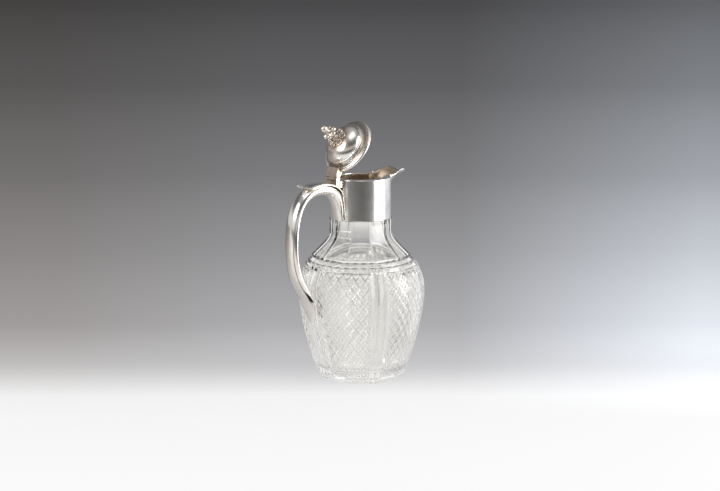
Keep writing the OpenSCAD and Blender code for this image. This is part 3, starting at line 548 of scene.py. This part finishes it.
y_cut = opening_half*np.sin(np.linspace(-np.pi/2, np.pi/2, 41))
a_cut = np.arcsin(y_cut/(collar_r - sheet/2))
a_rest = np.linspace(a_cut[-1], 2*np.pi + a_cut[0], 180)
a_all = np.r_[a_cut, a_rest]
top_all = np.r_[root_height(y_cut, opening_half, opening_drop), np.full(len(a_rest), rim_z)]

# Outline of the wall: radius, step up or down, and share of the height
wall_line = [(collar_r - 0.15, 0.0, 0), (collar_r, 0.15, 0)]
wall_line += [(collar_r, 0, v) for v in np.linspace(0.02, 0.98, 12)]
wall_line += [(collar_r, -0.45, 1), (collar_r - 0.13, -0.13, 1), (collar_r - 0.45, 0, 1),
              (collar_r - sheet + 0.1, 0, 1), (collar_r - sheet, -0.1, 1), (collar_r - sheet, 0, 0.5),
              (collar_r - sheet, 0.1, 0)]
collar_grid = np.stack([np.stack([r*np.cos(a_all), r*np.sin(a_all), seat_z + (top_all - seat_z)*v + step], -1)
                        for r, step, v in wall_line])
collar_silver = silver_finish("collar_silver", (0.89, 0.875, 0.85), (0.60, 0.55, 0.50), 0.8, 0.16, 0.0001)
fit(hooped("silver_collar", collar_grid), collar_silver, "jug", "collar")

# Spout: raised from a patch of sheet, let into the opening and soldered; its lip runs from the
# rim out over two wings to a dipped tip, and its channel is darker and warm: tarnish with painted shade.
skirt_half, skirt_drop, skin_rows = collar_r*np.sin(np.radians(31)), 16.5, 20


def lip_line(u):
    """Edge of the lip, two cubic curves on each side: rim to wing for |u| above a half, then wing to tip."""
    start = np.array([np.sqrt(collar_r**2 - opening_half**2) + 0.1, opening_half, 0])
    wing, tip, along = np.array([42.4, 10.4, 3.6]), np.array([49.0, 0, -1.0]), np.array([8.7, -0.8, 0.25])
    a = np.abs(u)
    side = cubic([start, start + [7.4, 1.6, -1.1], wing - along, wing], np.clip(2*(1 - a), 0, 1))
    front = cubic([wing, wing + 0.4*along, tip + [0, 2.6, 0], tip], np.clip(1 - 2*a, 0, 1))
    p = np.where((a > 0.5)[..., None], side, front)
    p[..., 1] *= np.where(u < 0, -1, 1)
    return p + [0, 0, rim_z]


def spout_sheet(foot, edge, v):
    """Sheet from root to lip: a cubic curve that leaves the root steeply, then turns out to the edge."""
    way = edge - foot
    low, knee = foot + way*[0.04, 0, 0.35], foot + way*[0.28, 0.2, 0.86]
    v = v[:, None, None]
    return foot*(1 - v)**3 + 3*low*v*(1 - v)**2 + 3*knee*v*v*(1 - v) + edge*v**3


def shut(rings, poles=None):
    """Points and triangles of a closed surface through rings, turned outwards, with a fan at each end to a
    pole, which is the middle of the end ring where none is given."""
    rings = np.asarray(rings, float)
    poles = [rings[0].mean(0), rings[-1].mean(0)] if poles is None else np.asarray(poles, float)
    n, m = rings.shape[:2]
    p = np.arange((n - 1)*m).reshape(n - 1, m)
    beside, above, across = np.roll(p, -1, 1), p + m, np.roll(p, -1, 1) + m
    faces = np.concatenate([np.stack([p, beside, across], -1).reshape(-1, 3),
                            np.stack([p, across, above], -1).reshape(-1, 3), fans(n, m)])
    q = np.concatenate([rings.reshape(-1, 3), poles])
    a, b, c = q[faces[:, 0]], q[faces[:, 1]], q[faces[:, 2]]
    return q, faces[:, ::-1] if (np.cross(b - a, c - a)*a).sum() < 0 else faces


def solid(name, *parts):
    """One smooth mesh of several closed surfaces, each given as its points and triangles, with its edges
    sharp where faces turn by more than 50 degrees."""
    start = np.cumsum([0] + [len(q) for q, f in parts])
    faces = np.concatenate([f + k for (q, f), k in zip(parts, start)])
    o = make_mesh(name, np.concatenate([q for q, f in parts]), faces, True)
    o.data.set_sharp_from_angle(angle=np.radians(50))
    return o


u_lip = np.linspace(1, -1, 65)
y_out, y_in = skirt_half*np.sin(np.pi/2*u_lip), opening_half*np.sin(np.pi/2*u_lip)
foot_out = np.stack([np.sqrt(collar_r**2 - y_out**2), y_out, root_height(y_out, skirt_half, skirt_drop)], -1)
foot_in = np.stack([np.sqrt((collar_r - sheet)**2 - y_in**2), y_in,
                    root_height(y_in, opening_half, opening_drop)], -1)
edge_out = lip_line(u_lip)
edge_in = edge_out + [-0.35*sheet, 0, 0.6*sheet]
crown = (edge_out + edge_in)/2 + [0.25, 0, 0.2]
v_out = np.linspace(0, 1, skin_rows)
skin_out, skin_in = spout_sheet(foot_out, edge_out, v_out), spout_sheet(foot_in, edge_in, v_out)
seat_line = np.stack([np.sqrt(collar_r**2 - y_in**2), y_in, foot_in[:, 2]], -1)
spout_rings = np.concatenate([skin_out, crown[None], skin_in[::-1], seat_line[None]]).transpose(1, 0, 2)
sheet_silver = silver_finish("sheet_silver", (0.89, 0.875, 0.85), (0.76, 0.67, 0.57), 0.5, 0.17, 0.00008)
tarnished_shaded_inside_silver = silver_finish("tarnished_shaded_inside_silver", (0.60, 0.50, 0.38), (0.34, 0.24, 0.15), 0.9, 0.2, 0.00004)
spout = solid("silver_spout", shut(spout_rings))
fit(spout, sheet_silver, "jug", "spout")
# The channel's faces take the darker inside silver: tarnish with painted shade
spout.data.materials.append(tarnished_shaded_inside_silver)
column = np.arange(len(spout.data.polygons)) % spout_rings.shape[1]
in_channel = (column > skin_rows) & (column <= 2*skin_rows)
spout.data.polygons.foreach_set("material_index", in_channel.astype(np.int32))

# Mouth wire: a thin round wire soldered round the inner edge of the mouth's ledge, from one
# side of the pouring trough to the other, so that the flange of the lid slides past it.
bore, wire_r, trough, gap = 21.0, 0.8, 10.4, 0.02
arc = np.linspace(np.arcsin(trough/bore) + gap, 2*np.pi - np.arcsin(trough/bore) - gap, 150)
a = np.linspace(0, 2*np.pi, 17)[:-1]
wire_line = np.stack([bore + 0.4 + wire_r*np.cos(a), rim_z - wire_r + 0.1 + wire_r*np.sin(a)], -1)
wire_rings = np.stack([np.cos(arc)[:, None]*wire_line[:, 0], np.sin(arc)[:, None]*wire_line[:, 0],
                       np.broadcast_to(wire_line[:, 1], (len(arc), len(a)))], -1)
edge_wire = solid("mouth_edge_wire", shut(wire_rings))
edge_wire.data.materials.append(sheet_silver)
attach(edge_wire, "jug")

# Handle: two half tubes of sheet silver, seamed along both sides into one hollow handle. It
# rises from the collar, arches over and comes down to lie on the glass, where its tip is left
# open and a narrow slot runs beside the near seam.
reach, rise_top, tip_h = 80.6, 30.6, 57.6
thick, broad, tip_half, seam_low = 10.1, 15.5, 1.053, 22
top_h, bend_h = seat_z + rise_top, seat_z - 0.21*reach
tip_x = -(float(body_radius(np.array(tip_h))) + 0.3 + tip_half)
crest, side_bend = [-0.608*reach, top_h], [-reach, bend_h]
handle_line = [[[-1.044*collar_r, seat_z + 0.5], [-1.065*collar_r, seat_z + 0.46*rise_top],
                [-0.92*collar_r, seat_z + 0.967*rise_top], crest],
               [crest, [-0.909*reach, top_h + 0.016*rise_top], [-reach, top_h - 0.719*rise_top], side_bend],
               [side_bend, [-reach, bend_h - 0.546*reach], [tip_x - 0.436*thick, tip_h + 0.397*reach],
                [tip_x, tip_h]]]


def ease(t):
    """Ease from 0 to 1 with level ends, by t squared times 3 - 2t."""
    t = np.clip(t, 0, 1)
    return t*t*(3 - 2*t)


def handle_at(t):
    """Middle line of the handle in the plane Y = 0: three cubic curves end to end, each a third of t."""
    k = np.clip(np.floor(3*t), 0, 2)
    return sum(cubic(poles, 3*t - i)*(k == i)[..., None] for i, poles in enumerate(handle_line))


def handle_dir(t):
    """Direction of the middle line, from the step between two near points."""
    d = handle_at(np.clip(t + 0.004, 0, 1)) - handle_at(np.clip(t - 0.004, 0, 1))
    return d/np.linalg.norm(d, axis=-1, keepdims=True)


def half_thick(t):
    """Half the thickness: full on the arch, slimmer down the side, flat at the tip."""
    return (0.5*thick*(0.34 + 0.66*ease(t/0.22))*(1 - 0.35*ease((t - 0.35)/0.45)) -
            (0.325*thick - tip_half)*ease((t - 0.72)/0.28))


def half_broad(t):
    """Half the width: a little wider at the root and towards the tip, where it closes in a round end."""
    return (0.5*broad*(1.14 - 0.14*ease(t/0.25))*(1 + 0.1*ease((t - 0.35)/0.3) + 0.42*ease((t - 0.68)/0.2)) *
            np.sqrt(1 - 0.96*(np.clip(t - 0.86, 0, 1)/0.14)**2.5))


def handle_point(t, a, grow=0.0):
    """Point of the handle's oval at t along it and angle a round it, from the near side over the outside."""
    c, d = handle_at(t), handle_dir(t)
    n, w = (half_thick(t) + grow)*np.sin(a), (half_broad(t) + grow)*np.cos(a)
    return np.stack([c[..., 0] + d[..., 1]*n, -w, c[..., 1] - d[..., 0]*n], -1)


def seam_angle(t):
    """Angle of the seam above the oval's widest points: 22 degrees, rising to 48 down the side and back to
    22 towards the tip."""
    return seam_low + 26*ease((t - 0.42)/0.3)*(1 - ease((t - 0.89)/0.05))


def half_tube(name, t, first, last, steps):
    """Band of sheet between two seams: rings of points out over the oval and back under it by the sheet's
    thickness. Also gives the tarnish along its seams, which fades over eight degrees and grows down the
    handle, and the near-full darkening of its inside face, tarnish with painted shade."""
    share = np.linspace(0, 1, steps)
    a = np.radians(first[:, None]*(1 - share) + last[:, None]*share)
    t = np.broadcast_to(t[:, None], a.shape)
    rings = np.concatenate([handle_point(t, a), handle_point(t, a, -sheet)[:, ::-1]], 1)
    off = np.degrees(np.minimum(a - a[:, :1], a[:, -1:] - a))
    shade_and_tarnish_amount = np.clip(1 - off/8, 0, 1)*(0.25 + 0.75*ease((t - 0.45)/0.2))
    # Inside face: tarnish with painted shade, seen dark in the open tip
    shade_and_tarnish_amount = np.concatenate([shade_and_tarnish_amount, np.full(a.shape, 0.95)], 1)
    return solid(name, shut(rings)), np.r_[shade_and_tarnish_amount.ravel(), 0.5, 0.5]


cast_silver = silver_finish("cast_silver", (0.96, 0.93, 0.89), (0.76, 0.64, 0.52), 0.5, 0.12, 0.0001)
along = np.r_[np.linspace(0, 0.86, 110), np.linspace(0.864, 1, 50)]
seam = seam_angle(along)
half, shade_and_tarnish_amount = half_tube("handle_outer_half", along, seam, 180 - seam, 48)
fit(half, cast_silver, "jug", "handle_shell", shade_and_tarnish=shade_and_tarnish_amount)
inner_end = 29/32
along, seam = along[along <= inner_end], seam[along <= inner_end]
slot_turn = 38*ease((along - 0.82)/0.07)
half, shade_and_tarnish_amount = half_tube("handle_inner_half", along, 180 - seam, 360 + seam - slot_turn, 80)
fit(half, cast_silver, "jug", "handle_strip", shade_and_tarnish=shade_and_tarnish_amount)

# Thumb leaf: a cast leaf soldered along the crown of the handle. It leaves the handle at its
# outer end and curls up to a blunt point.
leaf_t, leaf_w, leaf_len, leaf_curl, dish = 1.8, 8.0, 16.0, 3.6, 0.28*1.8
leaf_start, leave, leaf_rows = 5/32, np.array(12/32), 26
low_a = np.radians(seam_low + 13.6*np.linspace(3, 7, 9))
low_s = np.sin(low_a[0])
half_leave = float(half_thick(leave))
crown_h = half_leave*(1 - low_s)
v_leaf = np.linspace(-1, 1, 21)


def leaf_rings(c, n, w, rise, low):
    """Rings of the leaf along its middle line c, with n square to it and w half its width: over the top a
    crown of height leaf_t + rise(1 - v*v), round both edges, and back along the low points."""
    h = leaf_t + rise[:, None]*(1 - v_leaf**2)
    h = h - 0.5*leaf_t*np.abs(v_leaf)**8
    top = np.stack([c[:, None, 0] + n[:, None, 0]*h, w[:, None]*v_leaf, c[:, None, 1] + n[:, None, 1]*h], -1)
    edge_a, foot_a, foot_b, edge_b = (
        np.stack([c[:, 0] + n[:, 0]*lift*leaf_t, w*side, c[:, 1] + n[:, 1]*lift*leaf_t], -1)[:, None]
        for side, lift in ((1.01, 0.25), (0.97, 0), (-0.97, 0), (-1.01, 0.25)))
    return np.concatenate([top, edge_a, foot_a, low, foot_b, edge_b], 1)


t_on = np.linspace(leaf_start, leave, leaf_rows)
d_on = handle_dir(t_on)
n_on = np.stack([d_on[:, 1], -d_on[:, 0]], -1)
c_on = handle_at(t_on) + n_on*half_thick(t_on)[:, None]*low_s
low_on = handle_point(*np.meshgrid(t_on, np.pi - low_a, indexing="ij"))
on = leaf_rings(c_on, n_on, np.full(leaf_rows, leaf_w), np.full(leaf_rows, crown_h), low_on)

# Beyond the handle the leaf's middle line is a cubic curve that turns up, and its underside sags
# from the handle's round to a shallow dish
s_off = np.linspace(0, 1, 25)[1:]
freed = ease(2*s_off)
d_leave = handle_dir(leave)
p_leave = handle_at(leave) + np.array([d_leave[1], -d_leave[0]])*half_leave*low_s
free_poles = [p_leave, p_leave + 0.3*leaf_len*d_leave, p_leave + [-0.72*leaf_len, -0.0875*leaf_len],
              p_leave + [-leaf_len, leaf_curl]]
c_off = cubic(free_poles, s_off)
step = cubic(free_poles, np.clip(s_off + 0.01, 0, 1)) - cubic(free_poles, s_off - 0.01)
step /= np.linalg.norm(step, axis=-1, keepdims=True)
n_off = np.stack([step[:, 1], -step[:, 0]], -1)
w_off = leaf_w*(1 - s_off**2.2) + 0.5*leaf_t*s_off**2.2
sag = (1 - freed)[:, None]*half_leave*(np.sin(low_a) - low_s) - dish*freed[:, None]*np.sin(low_a)**2
y_low = -float(half_broad(leave))*np.cos(np.pi - low_a)[None]*w_off[:, None]/leaf_w
low_off = np.stack([c_off[:, :1] + n_off[:, :1]*sag, y_low, c_off[:, 1:] + n_off[:, 1:]*sag], -1)
off = leaf_rings(c_off, n_off, w_off, crown_h - (crown_h + dish*(1 - s_off))*freed, low_off)
leaf = solid("thumb_leaf_casting", shut(np.concatenate([on, off])))
fit(leaf, cast_silver, "jug", "thumb_leaf")

# Lid: a domed disc raised from one sheet, with a low wall and a hollow curve up to the dome.
# It stands open at 56 degrees on the hinge; tarnish and painted shade lie round the finial and the wire.
hinge_x, hinge_z, lid_gap_z, opened = 32.8, 187.8, -0.75, np.radians(56)
wall_r, wall_top, dome_r, dome_z, lid_h, lid_sheet = 24.6, 4.2, 19.2, 6.8, 18.6, 0.8
lid_sides = 160


def swung(p):
    """Points of the shut lid, measured from the underside of its rim, turned up about the hinge."""
    x, z = p[..., 0] + hinge_x, p[..., 2] + lid_gap_z
    return np.stack([x*np.cos(opened) - z*np.sin(opened) - hinge_x, p[..., 1],
                     x*np.sin(opened) + z*np.cos(opened) + hinge_z], -1)


def spun(line, sides):
    """Rings of a turned form, with so many points each, from the points (radius, height) of its outline."""
    line = np.asarray(line, float)
    a = np.linspace(0, 2*np.pi, sides + 1)[:-1]
    return np.stack([line[:, :1]*np.cos(a), line[:, :1]*np.sin(a), np.repeat(line[:, 1:], sides, 1)], -1)


def lid_line(depth):
    """Outline of the lid's sheet at a depth under its surface, from the foot of its wall over the hollow
    curve to the apex: straight, cubic, then a quarter of an ellipse."""
    t = np.linspace(0.04, 1, 20)
    hollow = cubic([[wall_r, wall_top], [dome_r + 0.5, wall_top + 0.6], [dome_r + 0.1, dome_z - 2.4],
                    [dome_r, dome_z]], t)
    hollow = hollow - depth*np.stack([np.ones_like(t), 1 - t*t], -1)
    a = np.radians(np.linspace(3, 88, 36))
    return np.r_[[[wall_r - depth, 0], [wall_r - depth, wall_top - depth - 0.2]], hollow,
                 np.stack([(dome_r - depth)*np.cos(a), dome_z + (lid_h - depth - dome_z)*np.sin(a)], -1)]


outline = np.r_[lid_line(0)[::-1], lid_line(lid_sheet)]
dome_poles = swung(np.array([[0, 0, lid_h], [0, 0, lid_h - lid_sheet]]))
# Painted shade with tarnish round the finial's foot, and over the wall and the hollow curve up to the wire
shade_and_tarnish_by_finial = np.clip((13.5 - outline[:, 0])/4.5, 0, 0.8)*(outline[:, 1] > dome_z)
shade_and_tarnish_amount = np.where(outline[:, 1] < dome_z + 0.4, 0.45, shade_and_tarnish_by_finial)
lid_silver = silver_finish("lid_silver", (0.86, 0.83, 0.79), (0.66, 0.53, 0.41), 0.85, 0.17, 0.00012)
fit(solid("lid_sheet", shut(swung(spun(outline, lid_sides)), dome_poles)), lid_silver, "lid", "lid_dome",
    shade_and_tarnish=np.r_[np.repeat(shade_and_tarnish_amount, lid_sides), 0.8, 0.8])

# Mouldings and flange of the lid: half-round wire round its rim, round wire at the foot of the
# dome, and a flange inside that drops into the mouth, all soldered on.
rim_out, rim_half, rim_top = 2.4, 1.8, 3.58
a = np.radians(np.linspace(4, 176, 24))
rim_line = np.r_[[[wall_r, 0.02]], np.stack([wall_r - 0.2 + rim_out*np.sin(a), rim_half*(1 - np.cos(a))], -1),
                 [[wall_r, rim_top]]]
# Painted shade with tarnish where the rim wire meets the sheet, along both its edges
shade_and_tarnish_amount = np.abs(np.linspace(-1, 1, len(rim_line)))**6*0.8
fit(hooped("lid_rim_moulding", swung(spun(rim_line, lid_sides))), lid_silver, "lid", "lid_rim_wire",
    shade_and_tarnish=np.repeat(shade_and_tarnish_amount, lid_sides))
a = np.linspace(0, 2*np.pi, 21)[:-1]
ridge_line = np.stack([dome_r + 0.2 + wire_r*np.cos(a), dome_z + wire_r*np.sin(a)], -1)
fit(hooped("lid_dome_wire", swung(spun(ridge_line, lid_sides))), sheet_silver, "lid", "lid_ridge_wire")
flange = [[23.8, 0], [23.8, 0.9], [23.6, 0.9], [19.5, 0.9], [19.4, 0.8], [19.4, -2.15], [19.5, -2.25],
          [20.2, -2.25], [20.3, -2.15], [20.3, -0.1], [20.4, 0]]
dull_silver = silver_finish("dull_silver", (0.60, 0.57, 0.53), (0.36, 0.30, 0.25), 0.8, 0.22, 0.0)
fit(hooped("lid_flange", swung(spun(flange, lid_sides))), dull_silver, "lid", "lid_bezel")

# Finial: a rosette of six cupped petals round a short stem, a knop of six lobes and a ball,
# cast separately and threaded on one stud. Each petal lies on the dome, at the dome's slope.
petals, petal_r, petal_mid, stem_top, finial_sides = 6, 3.3, 6.7, 5.8, 40
tilt = np.arctan((lid_h - dome_z)*petal_mid/(dome_r*np.sqrt(dome_r**2 - petal_mid**2)))
petal_z = dome_z + (lid_h - dome_z)*np.sqrt(1 - (petal_mid/dome_r)**2)
a = np.radians(np.linspace(150, -30, 11))
petal_line = np.r_[[[0.06, 0.24], [0.12, 0.2], [0.2, 0.1], [0.32, 0.06], [0.5, 0.08], [0.6, 0.13]],
                   np.stack([0.84 + 0.16*np.cos(a), 0.22 + 0.16*np.sin(a)], -1),
                   [[0.86, -0.1], [0.8, -0.25]]]*petal_r
q, f = shut(spun(petal_line, finial_sides), [[0, 0, 0.24*petal_r], [0, 0, -0.25*petal_r]])
q = np.stack([q[:, 0]*np.cos(tilt) + q[:, 2]*np.sin(tilt) + petal_mid, q[:, 1],
              q[:, 2]*np.cos(tilt) - q[:, 0]*np.sin(tilt) + petal_z], -1)
rosette = []
for k in range(petals):
    c, s = np.cos(np.pi*k/3), np.sin(np.pi*k/3)
    rosette.append((swung(np.stack([q[:, 0]*c - q[:, 1]*s, q[:, 0]*s + q[:, 1]*c, q[:, 2]], -1)), f))
stem = np.r_[[[3.75, -1], [3.75, 0.8], [3.65, 1.0], [3.4, 1.6]],
             cubic([[3.4, 1.6], [1.4, 3], [1.6, stem_top - 3], [2.9, stem_top - 0.8]],
                   np.linspace(0.08, 1, 14)), [[2.9, stem_top]]]
q, f = shut(spun(stem, finial_sides) + [0, 0, lid_h], [[0, 0, lid_h - 1], [0, 0, lid_h + stem_top]])
# Tarnish with painted shade: dark in each petal's cup and on its underside against the dome, light on its
# rim, less on the stem
shade_and_tarnish_amount = np.r_[np.array([0.8, 0.95, 0.95, 0.85, 0.6, 0.3]), np.linspace(0, 0.2, 11), 0.9, 1.0]
shade_and_tarnish_amount = np.r_[np.repeat(shade_and_tarnish_amount, finial_sides), 0.9, 1.0]
finial_silver = silver_finish("finial_silver", (0.82, 0.76, 0.68), (0.58, 0.46, 0.35), 0.7, 0.24, 0.00003)
fit(solid("finial_rosette", *rosette, (swung(q), f)), finial_silver, "lid", "finial_calyx",
    shade_and_tarnish=np.r_[np.tile(shade_and_tarnish_amount, petals), np.full(len(q), 0.3)])

knop_z, knop_low, knop_neck = lid_h + 9, 2.9, 5.7
core_r, lobe_r, lobe_out, disc_r, disc_h = 3.74, 2.3, 4.9, 6.1, 2.2


def lobed(th, ph):
    """Outside of the knop in each direction from its middle: the farthest of a core ball, six lobe balls
    (the far crossing of the ray with each) and a flat disc between the lobes, 1 over the root of
    (cos/disc_r)^2 + (sin/disc_h)^2."""
    d = np.stack([np.cos(ph)*np.cos(th), np.cos(ph)*np.sin(th), np.sin(ph)], -1)
    a = np.pi/6 + np.pi/3*np.arange(6)
    c = np.r_[[[0, 0, 0]], np.stack([lobe_out*np.cos(a), lobe_out*np.sin(a), 0*a], -1)]
    r = np.r_[core_r, np.full(6, lobe_r)]
    b = d@c.T
    inside = r**2 - (c**2).sum(1) + b**2
    far = np.where((inside > 0) & (b > -1e-9), b + np.sqrt(np.clip(inside, 0, None)), 0)
    disc = 1/np.sqrt((np.cos(ph)/disc_r)**2 + (np.sin(ph)/disc_h)**2)
    return d*np.maximum(far.max(-1), disc)[..., None]


ph, th = np.meshgrid(np.radians(np.linspace(-52, 86, 60)), np.linspace(0, 2*np.pi, 145)[:-1],
                     indexing="ij")
knop = shut(swung(lobed(th, ph) + [0, 0, knop_z]),
            swung(np.array([[0, 0, knop_z - knop_low], [0, 0, knop_z + core_r]])))
neck_line = [[2.2, 0], [2.2, 5.4], [2.0, knop_neck]]
q, f = shut(spun(neck_line, finial_sides) + [0, 0, knop_z], [[0, 0, knop_z], [0, 0, knop_z + knop_neck]])
# Tarnish with painted shade in the clefts between the knop's lobes and on its neck
shade_and_tarnish_amount = 0.5*np.abs(np.sin(3*th))**6*(np.abs(ph) < 0.9)
fit(solid("finial_lobed_knop", knop, (swung(q), f)), finial_silver, "lid", "finial_knop",
    shade_and_tarnish=np.r_[shade_and_tarnish_amount.ravel(), 0.5, 0.5, np.full(len(q), 0.4)])

ball_z, ball_r = lid_h + 16.5, 3.2
a = np.radians(np.linspace(-87, 87, 48))
ball = shut(swung(spun(np.stack([ball_r*np.cos(a), ball_z + ball_r*np.sin(a)], -1), finial_sides)),
            swung(np.array([[0, 0, ball_z - ball_r], [0, 0, ball_z + ball_r]])))
fit(solid("finial_top_ball", ball), finial_silver, "lid", "finial_ball")

# Pieces that stay as they are drawn: the mouth's liner, hinge, lug, stud, washer and nut in
# silver, and the plaster of the bed. The liner is polished where it looks up; its walls are darker
# and warm, tarnish with painted shade.
plaster, tree, shader = node_tree("plaster")
place = wire(tree, "ShaderNodeTexCoord").outputs["Object"]
grit = wire(tree, "ShaderNodeTexNoise", Vector=place, Scale=900.0, Detail=5.0).outputs[0]
tree.links.new(mixed(tree, grit, (0.70, 0.67, 0.60, 1), (0.80, 0.78, 0.72, 1)), shader.inputs["Base Color"])
tree.links.new(wire(tree, "ShaderNodeBump", Distance=0.0002, Height=grit).outputs[0], shader.inputs["Normal"])
shader.inputs["Roughness"].default_value = 0.9
# Hinge seat and lug: darker, warmer silver, a painted warm reflection with tarnish on top
warm_silver_painted_reflection = silver_finish("warm_silver_painted_reflection", (0.68, 0.58, 0.48), (0.48, 0.36, 0.27), 0.9, 0.22, 0.0001)
finish = {"glass_body": crystal, "plaster_bed": plaster, "mouth_liner": tarnished_shaded_inside_silver,
          "hinge_seat": warm_silver_painted_reflection, "lid_lug": warm_silver_painted_reflection, "hinge_pin": dull_silver,
          "finial_stud": dull_silver, "finial_washer": dull_silver, "finial_nut": dull_silver}
for name, o in nodes.items():
    o.data.materials.clear()
    o.data.materials.append(finish.get(name, sheet_silver))
liner = nodes["mouth_liner"].data
liner.materials.append(sheet_silver)
# Faces that look up keep the polished silver and the walls take the darker inside silver: painted shade by
# facing, with tarnish
facing = np.zeros(3*len(liner.polygons))
liner.polygons.foreach_get("normal", facing)
liner.polygons.foreach_set("material_index", (facing[2::3] > 0.5).astype(np.int32))
